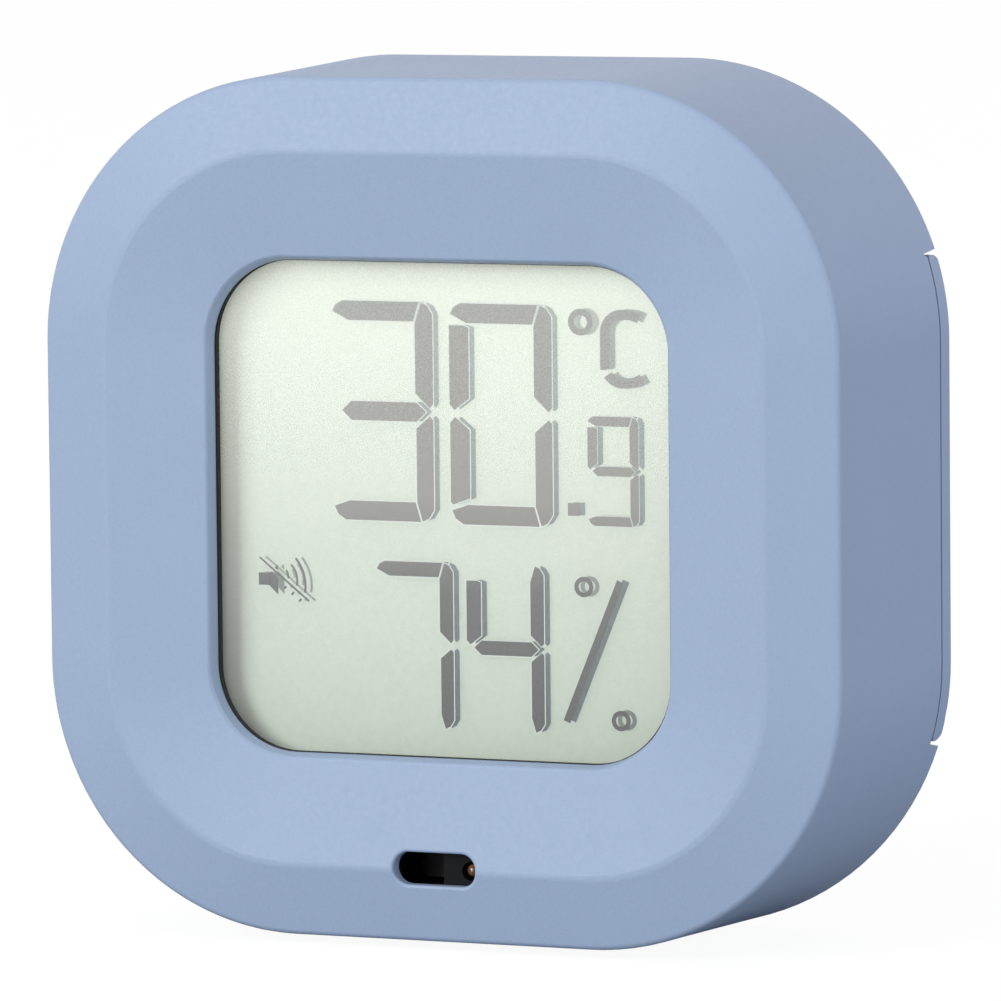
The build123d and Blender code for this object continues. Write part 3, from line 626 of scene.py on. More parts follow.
@dataclass(frozen=True)
class AmberBead(Finish):
    """The fused glass bead of the temperature probe, on tinned leads.

    Attributes:
        glass: The colour of the glass.
        heart: The colour of the chip inside, seen through the glass.
        lead: The colour of the leads.
        lead_depth: Where the leads start, in metres along Y.
        swirl: The size of the swirls in the glass, in metres.
    """

    glass: Colour
    heart: Colour
    lead: Colour
    lead_depth: float
    swirl: float = 0.0007

    def fill(self, graph: Graph) -> None:
        """Fills the material's nodes."""
        leads = graph.sum("GREATER_THAN", graph.axis("Y"), self.lead_depth)
        swirl = graph.noise(self.swirl, 3.0)
        glass = graph.blend(graph.levels(swirl, 0.35, 0.65), self.heart, self.glass)
        graph.set(
            Base_Color=graph.blend(leads, glass, self.lead),
            Metallic=leads,
            Roughness=graph.levels(swirl, 0.3, 0.7, 0.08, 0.16),
            Coat_Weight=0.8,
            Coat_Roughness=0.05,
            Normal=graph.relief(swirl, 0.000008, 0.4),
        )


# Modelling


def deselect() -> None:
    """Leaves nothing selected."""
    bpy.ops.object.select_all(action="DESELECT")


def activate(item: Piece) -> None:
    """Selects one object alone and makes it the active one."""
    deselect()
    item.select_set(True)
    bpy.context.view_layer.objects.active = item


def wear(item: Piece, material: bpy.types.Material) -> None:
    """Gives a piece this material alone."""
    item.data.materials.clear()
    item.data.materials.append(material)


def start_piece(name: str, add: Callable[..., object], **options: object) -> Piece:
    """Adds a primitive as the start of a piece, with its place in its mesh.

    Args:
        name: The piece's name.
        add: The operator that adds the primitive.
        **options: The operator's own options.

    Returns:
        The new object.
    """
    deselect()
    add(**options)
    item = bpy.context.active_object
    item.name = item.data.name = name
    bpy.ops.object.transform_apply(location=True, rotation=True, scale=True)
    return item


def pick(item: Piece, test: Callable[[Vector], bool], kind: str = "VERT") -> None:
    """Selects the vertices or faces of a piece by place, and opens it for editing.

    Args:
        item: The piece.
        test: Says whether a vertex's place, or a face's middle, is wanted.
        kind: VERT or FACE.
    """
    activate(item)
    bpy.ops.object.mode_set(mode="EDIT")
    bpy.ops.mesh.select_mode(type=kind)
    bpy.ops.mesh.select_all(action="DESELECT")
    bpy.ops.object.mode_set(mode="OBJECT")
    elements = item.data.vertices if kind == "VERT" else item.data.polygons
    for element in elements:
        element.select = test(element.co if kind == "VERT" else element.center)
    bpy.ops.object.mode_set(mode="EDIT")


def slice_off(at: Vector, away: Vector) -> None:
    """Cuts off what lies beyond a point of the piece that is open, and fills the cut."""
    bpy.ops.mesh.select_all(action="SELECT")
    bpy.ops.mesh.bisect(plane_co=at, plane_no=away, use_fill=True, clear_outer=True)


def close_edit() -> None:
    """Merges doubles, turns the faces outwards and leaves edit mode."""
    bpy.ops.mesh.select_all(action="SELECT")
    bpy.ops.mesh.remove_doubles(threshold=0.0005)
    bpy.ops.mesh.normals_make_consistent(inside=False)
    bpy.ops.object.mode_set(mode="OBJECT")


def apply_modifier(item: Piece, kind: str, **settings: object) -> None:
    """Adds a modifier of this kind and with these settings to a piece, and applies it."""
    activate(item)
    modifier = item.modifiers.new(kind.lower(), kind)
    for name, value in settings.items():
        setattr(modifier, name, value)
    bpy.ops.object.modifier_apply(modifier=modifier.name)


def join_pieces(name: str, parts: Sequence[Piece]) -> Piece:
    """Joins several objects into one piece of this name and returns it."""
    activate(parts[0])
    for part in parts:
        part.select_set(True)
    if len(parts) > 1:
        bpy.ops.object.join()
    parts[0].name = parts[0].data.name = name
    return parts[0]


def copy_piece(item: Piece, name: str, move: Matrix) -> Piece:
    """Copies a piece with its own mesh.

    Args:
        item: The piece to copy.
        name: The copy's name.
        move: Where the copy goes, and at what size.

    Returns:
        The copy.
    """
    twin = item.copy()
    twin.data = item.data.copy()
    twin.data.transform(move)
    twin.name = twin.data.name = name
    bpy.context.scene.collection.objects.link(twin)
    return twin


def cut_plate(name: str, outline: Sequence[Point], thickness: float, grow: float = 0.0) -> Piece:
    """Cuts a standing plate to a convex outline, one straight cut for each side.

    Args:
        name: The piece's name.
        outline: The outline's corners as across and up.
        thickness: The plate's thickness, about its own middle.
        grow: How far each side is moved outwards.

    Returns:
        The plate.
    """
    across, up = zip(*outline)
    middle = (sum(across) / len(across), sum(up) / len(up))
    plate = start_piece(
        name,
        bpy.ops.mesh.primitive_cube_add,
        size=1.0,
        location=((min(across) + max(across)) / 2, 0.0, (min(up) + max(up)) / 2),
        scale=(max(across) - min(across) + 2 * grow, thickness, max(up) - min(up) + 2 * grow),
    )
    activate(plate)
    bpy.ops.object.mode_set(mode="EDIT")
    for (x0, z0), (x1, z1) in zip(outline, [*outline[1:], outline[0]]):
        side = Vector((z1 - z0, 0.0, x0 - x1))
        if side.dot(Vector((x0 - middle[0], 0.0, z0 - middle[1]))) < 0:
            side.negate()
        side.normalize()
        slice_off(Vector((x0, 0.0, z0)) + side * grow, side)
    close_edit()
    return plate


def trim(piece: Piece, at: Point, away: float) -> Piece:
    """Cuts the end of a standing plate off along a straight line.

    Args:
        piece: The plate.
        at: A point of the line, as across and up.
        away: The way to what comes off, in degrees up from across.

    Returns:
        The plate.
    """
    activate(piece)
    bpy.ops.object.mode_set(mode="EDIT")
    slice_off(Vector((at[0], 0.0, at[1])), Vector((cos(radians(away)), 0.0, sin(radians(away)))))
    close_edit()
    return piece


def draw_ring(name: str, centre: Point, outer: float, inner: float, thickness: float) -> Piece:
    """Makes a flat standing ring.

    Args:
        name: The piece's name.
        centre: The ring's middle as across and up.
        outer: The outer radius.
        inner: The inner radius.
        thickness: The ring's thickness.

    Returns:
        The ring.
    """
    ring = start_piece(
        name,
        bpy.ops.mesh.primitive_circle_add,
        vertices=RING_SIDES,
        radius=outer,
        fill_type="NGON",
        location=(centre[0], 0.0, centre[1]),
        rotation=(pi / 2, 0.0, 0.0),
    )
    pick(ring, lambda place: True, "FACE")
    bpy.ops.mesh.inset(thickness=outer - inner)
    bpy.ops.mesh.delete(type="FACE")
    close_edit()
    apply_modifier(ring, "SOLIDIFY", thickness=thickness, offset=0.0)
    return ring


class Pen:
    """Draws a flat standing stroke by drawing out and spinning one short edge."""

    def __init__(self, name: str, start: Point, heading: float, width: float) -> None:
        """Starts a stroke.

        Args:
            name: The piece's name.
            start: Where the stroke starts, as across and up.
            heading: The way it goes, in degrees up from across.
            width: The stroke's width.
        """
        self.place = Vector((start[0], 0.0, start[1]))
        self.heading = radians(heading)
        way = self.way()
        self.stroke = start_piece(
            name,
            bpy.ops.mesh.primitive_plane_add,
            size=width,
            location=self.place + way * width / 2,
            rotation=(pi / 2, -self.heading, 0.0),
        )
        limit = way.dot(self.place) + width / 2
        pick(self.stroke, lambda corner: way.dot(corner) > limit)
        bpy.ops.mesh.delete(type="VERT")
        bpy.ops.mesh.select_all(action="SELECT")

    def way(self) -> Vector:
        """Returns the direction that the pen goes in."""
        return Vector((cos(self.heading), 0.0, sin(self.heading)))

    def line(self, length: float) -> "Pen":
        """Draws a straight run and returns the pen."""
        step = self.way() * length
        bpy.ops.mesh.extrude_region_move(TRANSFORM_OT_translate={"value": step})
        self.place += step
        return self

    def arc(self, turn: float, radius: float) -> "Pen":
        """Draws a bend.

        Args:
            turn: How far it turns, in degrees, to the left if positive.
            radius: The bend's radius at the middle of the stroke.

        Returns:
            The pen.
        """
        side = 1.0 if turn > 0 else -1.0
        left = Vector((-sin(self.heading), 0.0, cos(self.heading)))
        centre = self.place + left * radius * side
        angle = radians(turn)
        steps = max(3, int(abs(turn) / BEND_STEP))
        bpy.ops.mesh.spin(steps=steps, angle=angle, center=centre, axis=(0.0, 1.0, 0.0))
        self.place = centre + Matrix.Rotation(-angle, 3, "Y") @ (self.place - centre)
        self.heading += angle
        return self

    def lift(self, thickness: float) -> Piece:
        """Ends the stroke and returns it as a plate of this thickness."""
        close_edit()
        apply_modifier(self.stroke, "SOLIDIFY", thickness=thickness, offset=0.0)
        return self.stroke


def straight_stroke(name: str, start: Point, end: Point, width: float, thickness: float) -> Piece:
    """Draws a straight stroke with round ends.

    Args:
        name: The piece's name.
        start: One end, as across and up.
        end: The other end.
        width: The stroke's width.
        thickness: The plate's thickness.

    Returns:
        The stroke.
    """
    run = hypot(end[0] - start[0], end[1] - start[1])
    heading = degrees(atan2(end[1] - start[1], end[0] - start[0]))
    stroke = Pen(name, start, heading, width).line(run).lift(thickness)
    round_off = {"width": width * 0.3, "segments": 3, "limit_method": "ANGLE", "affect": "EDGES"}
    apply_modifier(stroke, "BEVEL", **round_off)
    return stroke


# Display artwork


class Segment(Enum):
    """The seven segments of a digit, as outlines in shares of its height, across and down."""

    TOP = (
        (0.006, 0.048), (0.022, 0.018), (0.055, 0.0), (0.435, 0.0), (0.408, 0.088), (0.085, 0.088),
    )
    UPPER_RIGHT = (
        (0.447, 0.002), (0.478, 0.016), (0.503, 0.055), (0.503, 0.462), (0.487, 0.482),
        (0.416, 0.415), (0.416, 0.098),
    )
    LOWER_RIGHT = (
        (0.487, 0.518), (0.503, 0.535), (0.503, 0.945), (0.478, 0.984), (0.447, 0.998),
        (0.42, 0.912), (0.42, 0.575),
    )
    FOOT = (
        (0.008, 0.938), (0.085, 0.912), (0.412, 0.912), (0.438, 1.0), (0.065, 1.0), (0.026, 0.975),
    )
    LOWER_LEFT = (
        (0.002, 0.54), (0.026, 0.515), (0.097, 0.572), (0.097, 0.882), (0.012, 0.912), (0.002, 0.9),
    )
    UPPER_LEFT = (
        (0.0, 0.078), (0.066, 0.1), (0.095, 0.1), (0.095, 0.43), (0.024, 0.483), (0.0, 0.458),
    )
    MIDDLE = (
        (0.05, 0.5), (0.096, 0.457), (0.42, 0.457), (0.468, 0.5), (0.42, 0.544), (0.096, 0.544),
    )


SEVEN = (Segment.TOP, Segment.UPPER_RIGHT, Segment.LOWER_RIGHT)
LIT = {
    0: (*SEVEN, Segment.FOOT, Segment.LOWER_LEFT, Segment.UPPER_LEFT),
    3: (*SEVEN, Segment.FOOT, Segment.MIDDLE),
    4: (Segment.UPPER_RIGHT, Segment.LOWER_RIGHT, Segment.UPPER_LEFT, Segment.MIDDLE),
    7: SEVEN,
    9: (*SEVEN, Segment.FOOT, Segment.UPPER_LEFT, Segment.MIDDLE),
}


@dataclass
class Digit:
    """One digit of the display.

    Attributes:
        name: The piece's name.
        value: The number that it shows.
        left: Its left edge from the display's middle, in millimetres.
        top: Its top edge from the display's middle, in millimetres.
        height: Its height, in millimetres.
    """

    name: str
    value: int
    left: float
    top: float
    height: float


@dataclass
class DisplayArtwork:
    """The lit segments and signs of the display, thin plates between its two glasses, with painted
    shadows of them on the reflector.

    Attributes:
        depth: Where the plates stand, in metres along Y.
        painted_shadow_depth: Where their painted shadow on the reflector lies, in metres along Y.
        middle: The height of the display's middle, in metres.
        ink: The finish of the plates.
        edge: The finish of the bright edges round the segments.
        painted_bold_shadow: The finish of the painted shadow of the digits and bold signs.
        painted_faint_shadow: The finish of the painted shadow of the rings and the small sign.
        thickness: The plates' thickness, in millimetres.
        edge_reach: How far the bright edges stand out, as a share of a digit's height.
        shift: How far all of it sits off the display's middle, in millimetres.
        bold_aside: How far to the right the bold painted shadow lies, in millimetres.
        fine_aside: The same for the faint painted shadow.
        digits: The digits.
    """

    depth: float
    painted_shadow_depth: float
    middle: float
    ink: SegmentInk
    edge: SegmentInk
    painted_bold_shadow: SegmentInk
    painted_faint_shadow: SegmentInk
    thickness: float = 0.02
    edge_reach: float = 0.0045
    shift: Point = (0.2, 0.05)
    bold_aside: float = 0.22
    fine_aside: float = 0.24
    digits: tuple[Digit, ...] = (
        Digit("temperature_tens", 3, -9.54, 15.18, 16.22),
        Digit("temperature_units", 0, -0.04, 15.16, 16.27),
        Digit("temperature_tenths", 9, 10.94, 7.12, 8.02),
        Digit("humidity_tens", 7, -6.12, -4.01, 12.32),
        Digit("humidity_units", 4, 1.15, -4.01, 12.33),
    )

    def digit(self, digit: Digit, plates: dict[Segment, Piece], ending: str) -> Piece:
        """Copies a digit's lit segments to their place and joins them.

        Args:
            digit: The digit.
            plates: The seven segment plates.
            ending: What the piece's name ends in.

        Returns:
            The piece, still in drawing millimetres.
        """
        size = Matrix.Diagonal((digit.height, self.thickness, digit.height, 1.0))
        move = Matrix.Translation((digit.left, 0.0, digit.top)) @ size
        name = digit.name + ending
        lit = LIT[digit.value]
        parts = [copy_piece(plates[kind], f"{name}_{kind.name.lower()}", move) for kind in lit]
        return join_pieces(name, parts)

    def all_digits(self, grow: float = 0.0, ending: str = "") -> list[Piece]:
        """Makes every digit from one set of segment plates.

        Args:
            grow: How far each side stands out, as a share of the height.
            ending: What the pieces' names end in.

        Returns:
            The digits, still in drawing millimetres.
        """
        plates = {
            kind: cut_plate(kind.name.lower(), [(x, -z) for x, z in kind.value], 1.0, grow)
            for kind in Segment
        }
        made = [self.digit(digit, plates, ending) for digit in self.digits]
        for plate in plates.values():
            bpy.data.objects.remove(plate)
        return made

    def bold_signs(self) -> list[Piece]:
        """Returns the digits, the point, the letter C as two pieces and the percent stroke."""
        t = self.thickness
        signs = self.all_digits()
        point = [(9.33, 0.72), (10.24, 0.72), (10.24, -0.22), (9.33, -0.22)]
        signs.append(cut_plate("decimal_point", point, t))
        hook = Pen("celsius_hook", (15.1, 14.33), 152.0, 0.74).arc(28.0, 2.2).line(0.35)
        hook = hook.arc(90.0, 1.35).line(2.7).lift(t)
        foot = Pen("celsius_foot", (12.62, 10.2), -58.0, 0.72).arc(58.0, 1.35).line(0.3)
        foot = foot.arc(30.0, 2.0).line(0.25).lift(t)
        signs += [trim(hook, (12.42, 10.52), -63.0), foot]
        signs.append(straight_stroke("percent_stroke", (9.11, -15.39), (13.45, -4.93), 0.56, t))
        return signs

    def fine_signs(self) -> list[Piece]:
        """Returns the degree ring, the percent sign's two rings and the mute sign."""
        rings = (
            ("degree_ring", (10.46, 13.99), 0.98, 0.52),
            ("percent_ring_upper", (10.55, -5.42), 0.75, 0.42),
            ("percent_ring_lower", (13.43, -15.17), 0.75, 0.42),
        )
        return [*(draw_ring(*ring, self.thickness) for ring in rings), self.mute_sign()]

    def mute_sign(self) -> Piece:
        """Returns the small loudspeaker with its waves and the stroke through it."""
        t = self.thickness
        body = [(-15.7, -5.2), (-14.7, -5.2), (-14.7, -6.12), (-15.7, -6.12)]
        cone = [(-14.85, -5.2), (-14.6, -5.12), (-14.12, -5.6), (-14.12, -6.82), (-14.85, -6.12)]
        tip = [(-14.4, -4.8), (-14.14, -4.58), (-14.1, -5.0)]
        waves = (
            ("inner", (-13.27, -5.58), 88.0, 38.0, 1.0, 0.15),
            ("middle", (-12.6, -6.1), 76.0, 60.0, 1.62, 0.15),
            ("outer", (-11.93, -6.62), 80.0, 52.0, 3.05, 0.17),
        )
        tails = (
            ((-13.46, -6.18), (-13.62, -6.33)),
            ((-12.83, -6.58), (-13.02, -6.8)),
            ((-12.22, -7.08), (-12.44, -7.28)),
        )
        plates = {"speaker_body": body, "speaker_cone": cone, "speaker_tip": tip}
        parts = [cut_plate(name, outline, t) for name, outline in plates.items()]
        parts.append(straight_stroke("speaker_stroke", (-15.62, -4.06), (-11.6, -7.23), 0.14, t))
        for name, start, heading, sweep, radius, width in waves:
            wave = Pen(f"speaker_wave_{name}", start, heading, width).arc(sweep, radius)
            parts.append(wave.lift(t))
        for index, (start, end) in enumerate(tails):
            parts.append(straight_stroke(f"speaker_tail_{index}", start, end, 0.16, t))
        return join_pieces("mute_sign", parts)

    def copy_aside(self, name: str, signs: Sequence[Piece], aside: float) -> Piece:
        """Copies signs as one piece, this far to the right in millimetres, and returns it."""
        move = Matrix.Translation((aside, 0.0, 0.0))
        return join_pieces(name, [copy_piece(sign, f"{sign.name}_image", move) for sign in signs])

    def finish(self, pieces: Iterable[Piece], depth: float, finish: SegmentInk) -> None:
        """Puts drawn pieces in their plane and lets them ride on the housing.

        Args:
            pieces: The pieces, in drawing millimetres.
            depth: Where the plane is, in metres along Y.
            finish: Their finish.
        """
        material = finish.material()
        place = (self.shift[0] * MM, depth, self.middle + self.shift[1] * MM)
        move = Matrix.Translation(place) @ Matrix.Scale(MM, 4)
        for piece in pieces:
            piece.data.transform(move)
            wear(piece, material)
            # The signs cast no real shadow; their painted shadows on the reflector stand in for it.
            piece.visible_shadow = False
            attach(piece, "housing")

    def build(self) -> list[Piece]:
        """Builds every sign of the display in place, with its finish, and returns them."""
        bold = self.bold_signs()
        fine = self.fine_signs()
        # Painted shadows: copies of the signs laid on the reflector, to the right.
        bold_painted_shadow = self.copy_aside("segment_painted_shadow", bold, self.bold_aside)
        fine_painted_shadow = self.copy_aside("sign_painted_shadow", fine, self.fine_aside)
        edges = join_pieces("segment_edges", self.all_digits(self.edge_reach, "_edge"))
        self.finish((*bold, *fine), self.depth, self.ink)
        self.finish([edges], self.depth + 1.5 * self.thickness * MM, self.edge)
        self.finish([bold_painted_shadow], self.painted_shadow_depth, self.painted_bold_shadow)
        self.finish([fine_painted_shadow], self.painted_shadow_depth, self.painted_faint_shadow)
        return [*bold, *fine, edges, bold_painted_shadow, fine_painted_shadow]


# Marks on the back


@dataclass
class BackMarks:
    """The printed marks on the back: one beside each button and an arrow on the battery cover.

    Attributes:
        finish: The finish of the marks.
        cover_back: Where the back cover's face lies, in metres along Y.
        door_back: Where the battery cover's face lies, in metres along Y.
        middle: The height of the body's middle, in metres.
        unit_place: The middle of the unit mark seen from behind, across and up, in millimetres.
        alarm_place: The same for the alarm mark.
        arrow_place: The same for the arrow.
        thickness: The thickness of the marks, in millimetres.
        line: The width of their lines, in millimetres.
        proud: How much of the thickness stands out of the face, as a share.
        arrow_share: How thick the arrow is, as a share of the thickness.
    """

    finish: Moulding
    cover_back: float
    door_back: float
    middle: float
    unit_place: Point = (18.0, 25.6)
    alarm_place: Point = (-17.6, 25.6)
    arrow_place: Point = (0.0, 7.4)
    thickness: float = 0.08
    line: float = 0.24
    proud: float = 0.6
    arrow_share: float = 0.8

    def strokes(self, *rows: tuple[str, Point, Point]) -> list[Piece]:
        """Draws straight strokes, each from its name, its start and its end."""
        return [straight_stroke(*row, self.line, self.thickness) for row in rows]

    def rings(self, *rows: tuple[str, Point, float, float]) -> list[Piece]:
        """Draws rings, each from its name, its middle and its two radii."""
        return [draw_ring(*row, self.thickness) for row in rows]

    def unit_mark(self) -> Piece:
        """Returns a degree C and a degree F with a stroke between them."""
        parts = self.strokes(
            ("letter_f", (1.7, 0.8), (2.62, 0.8)),
            ("letter_f_stem", (1.82, -0.92), (1.82, 0.7)),
            ("letter_f_bar", (1.92, 0.02), (2.45, 0.02)),
        )
        letter_c = Pen("letter_c", (-0.85, 0.55), 125.0, self.line).arc(110.0, 0.52).line(0.35)
        parts.append(letter_c.arc(110.0, 0.52).lift(self.thickness))
        parts += self.rings(
            ("degree_c", (-2.45, 0.72), 0.28, 0.12), ("degree_f", (1.18, 0.72), 0.28, 0.12)
        )
        parts += self.strokes(("unit_stroke", (-0.25, -0.95), (0.5, 0.95)))
        return join_pieces("unit_mark", parts)

    def alarm_mark(self) -> Piece:
        """Returns a small bell."""
        dome = Pen("bell_dome", (0.85, -0.5), 90.0, self.line).line(0.55).arc(180.0, 0.85)
        parts = [dome.line(0.55).lift(self.thickness)]
        parts += self.strokes(("bell_rim", (-1.2, -0.62), (1.2, -0.62)))
        parts += self.rings(
            ("bell_clapper", (0.0, -0.95), 0.26, 0.1), ("bell_loop", (0.0, 1.1), 0.24, 0.1)
        )
        return join_pieces("alarm_mark", parts)

    def arrow(self) -> Piece:
        """Returns the arrow that shows where to lift the battery cover."""
        t = self.thickness * self.arrow_share
        head = cut_plate("arrow_head", [(-1.5, 0.0), (1.5, 0.0), (0.0, 1.6)], t)
        bar = cut_plate("arrow_bar", [(-1.5, -0.7), (1.5, -0.7), (1.5, -0.35), (-1.5, -0.35)], t)
        return join_pieces("cover_arrow", [head, bar])

    def place(self, piece: Piece, spot: Point, face: float, body: str) -> None:
        """Turns a mark to face backwards and sets it on its face.

        Args:
            piece: The mark, in drawing millimetres.
            spot: Its middle seen from behind, across and up.
            face: Where the face lies, in metres along Y.
            body: The body that it rides on.
        """
        piece.data.transform(Matrix.Rotation(pi, 4, "Z") @ Matrix.Scale(MM, 4))
        outer = max(vertex.co.y for vertex in piece.data.vertices)
        stand = face + self.thickness * MM * self.proud - outer
        piece.data.transform(Matrix.Translation((-spot[0] * MM, stand, self.middle + spot[1] * MM)))
        wear(piece, self.finish.material())
        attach(piece, body)

    def build(self) -> list[Piece]:
        """Builds the marks in place, with their finish, and returns them."""
        marks = (
            (self.unit_mark(), self.unit_place, self.cover_back, "housing"),
            (self.alarm_mark(), self.alarm_place, self.cover_back, "housing"),
            (self.arrow(), self.arrow_place, self.door_back, "battery_cover"),
        )
        for mark in marks:
            self.place(*mark)
        return [mark[0] for mark in marks]


# Stage


@dataclass
class PhotoCamera:
    """The camera of the photograph.

    Attributes:
        eye: Its place, in metres.
        azimuth: How far it stands round to the right of the front, in degrees.
        elevation: How far it looks down, in degrees.
        roll: How far it is tilted, in degrees.
        lens: Its focal length, in millimetres.
        film: The width of its picture behind the lens, in millimetres.
        near: How near it begins to see, in metres.
        far: How far it sees, in metres.
    """

    eye: tuple[float, float, float] = (0.27035, -0.61186, 0.09682)
    azimuth: float = 23.7713
    elevation: float = 5.4955
    roll: float = -0.5516
    lens: float = 325.51
    film: float = 36.0
    near: float = 0.01
    far: float = 50.0

    def build(self) -> Piece:
        """Places the camera and makes it the scene's own."""
        a, e, r = radians(self.azimuth), radians(self.elevation), radians(self.roll)
        back = Vector((sin(a) * cos(e), -cos(a) * cos(e), sin(e)))
        right = Vector((cos(a), sin(a), 0.0))
        up = back.cross(right)
        turn = Matrix((right * cos(r) + up * sin(r), up * cos(r) - right * sin(r), back))
        data = bpy.data.cameras.new("photo_camera")
        data.lens = self.lens
        data.sensor_width = self.film
        data.clip_start = self.near
        data.clip_end = self.far
        camera = bpy.data.objects.new("photo_camera", data)
        camera.matrix_world = Matrix.Translation(self.eye) @ turn.transposed().to_4x4()
        bpy.context.scene.collection.objects.link(camera)
        bpy.context.scene.camera = camera
        return camera


@dataclass
class SoftBox:
    """A square lamp with a soft edge.

    Attributes:
        name: The lamp's name.
        place: Where it hangs, in metres.
        size: The length of its side, in metres.
        power: Its power, in watts.
        colour: Its colour.
    """

    name: str
    place: tuple[float, float, float]
    size: float
    power: float
    colour: Colour = WHITE

    def build(self, target: Vector) -> Piece:
        """Hangs the lamp so that it faces the target."""
        data = bpy.data.lights.new(self.name, "AREA")
        data.shape = "SQUARE"
        data.size = self.size
        data.energy = self.power
        data.color = self.colour
        lamp = bpy.data.objects.new(self.name, data)
        lamp.location = self.place
        lamp.rotation_euler = (target - Vector(self.place)).to_track_quat("-Z", "Y").to_euler()
        bpy.context.scene.collection.objects.link(lamp)
        return lamp


@dataclass
class Studio:
    """The pale floor, the white surroundings, the lamps and the camera.

    Attributes:
        ambient: The colour and strength of the surroundings' light.
        floor_size: The length of the floor's side, in metres.
        floor_colour: The floor's own colour.
        paper_colour: The floor's colour for the camera.
        floor_white: How much of the floor is lifted to white for the camera.
        white_strength: How strong that white is.
        lamps: The lamps.
    """

    ambient: Colour = (0.48, 0.44, 0.445)
    floor_size: float = 12.0
    floor_colour: Colour = (0.34, 0.36, 0.39)
    paper_colour: Colour = (0.95, 0.95, 0.95)
    floor_white: float = 0.88
    white_strength: float = 1.06
    lamps: tuple[SoftBox, ...] = (
        SoftBox("key_lamp", (-0.72, -1.36, 0.64), 0.8, 17.0, (0.92, 0.98, 0.97)),
        SoftBox("side_lamp", (1.60, -0.20, 0.36), 0.9, 10.2, (0.8, 0.92, 1.0)),
        SoftBox("ridge_lamp", (-0.68, -1.50, 0.19), 0.3, 2.7),
    )

    def surroundings(self) -> None:
        """Makes the world white to look at and softer as a light."""
        world = bpy.data.worlds.new("studio")
        tree = Tree(world)
        ray = tree.add("ShaderNodeLightPath").outputs
        seen = ray["Is Camera Ray"]
        for kind in ("Is Glossy Ray", "Is Transmission Ray"):
            either = tree.add("ShaderNodeMath", {0: seen, 1: ray[kind]}, operation="MAXIMUM")
            seen = either.outputs[0]
        light, white = (
            tree.add("ShaderNodeBackground", {"Color": colour, "Strength": 1.0}).outputs[0]
            for colour in (self.ambient, WHITE)
        )
        mix = tree.add("ShaderNodeMixShader", {0: seen, 1: light, 2: white}).outputs[0]
        tree.add("ShaderNodeOutputWorld", {"Surface": mix})
        bpy.context.scene.world = world

    def floor(self) -> Piece:
        """Lays the floor, which the camera sees nearly white but for the object's shadow."""
        floor = start_piece("studio_floor", bpy.ops.mesh.primitive_plane_add, size=self.floor_size)
        material = bpy.data.materials.new("studio_floor")
        tree = Tree(material)
        seen = tree.add("ShaderNodeLightPath").outputs["Is Camera Ray"]
        lifted = tree.add("ShaderNodeMath", {0: seen, 1: self.floor_white}, operation="MULTIPLY")
        colours = {0: seen, 6: self.floor_colour, 7: self.paper_colour}
        tone = tree.add("ShaderNodeMix", colours, data_type="RGBA").outputs[2]
        paper = tree.add("ShaderNodeBsdfDiffuse", {"Color": tone}).outputs[0]
        white = tree.add("ShaderNodeEmission", {"Strength": self.white_strength}).outputs[0]
        mix = tree.add("ShaderNodeMixShader", {0: lifted.outputs[0], 1: paper, 2: white})
        tree.add("ShaderNodeOutputMaterial", {"Surface": mix.outputs[0]})
        wear(floor, material)
        return floor

    def build(self, target: Vector) -> None:
        """Sets up the whole studio, with its lamps facing the target."""
        self.surroundings()
        self.floor()
        for lamp in self.lamps:
            lamp.build(target)
        PhotoCamera().build()
        bpy.context.scene.view_settings.view_transform = "Standard"


# Finishes of the carried-over parts


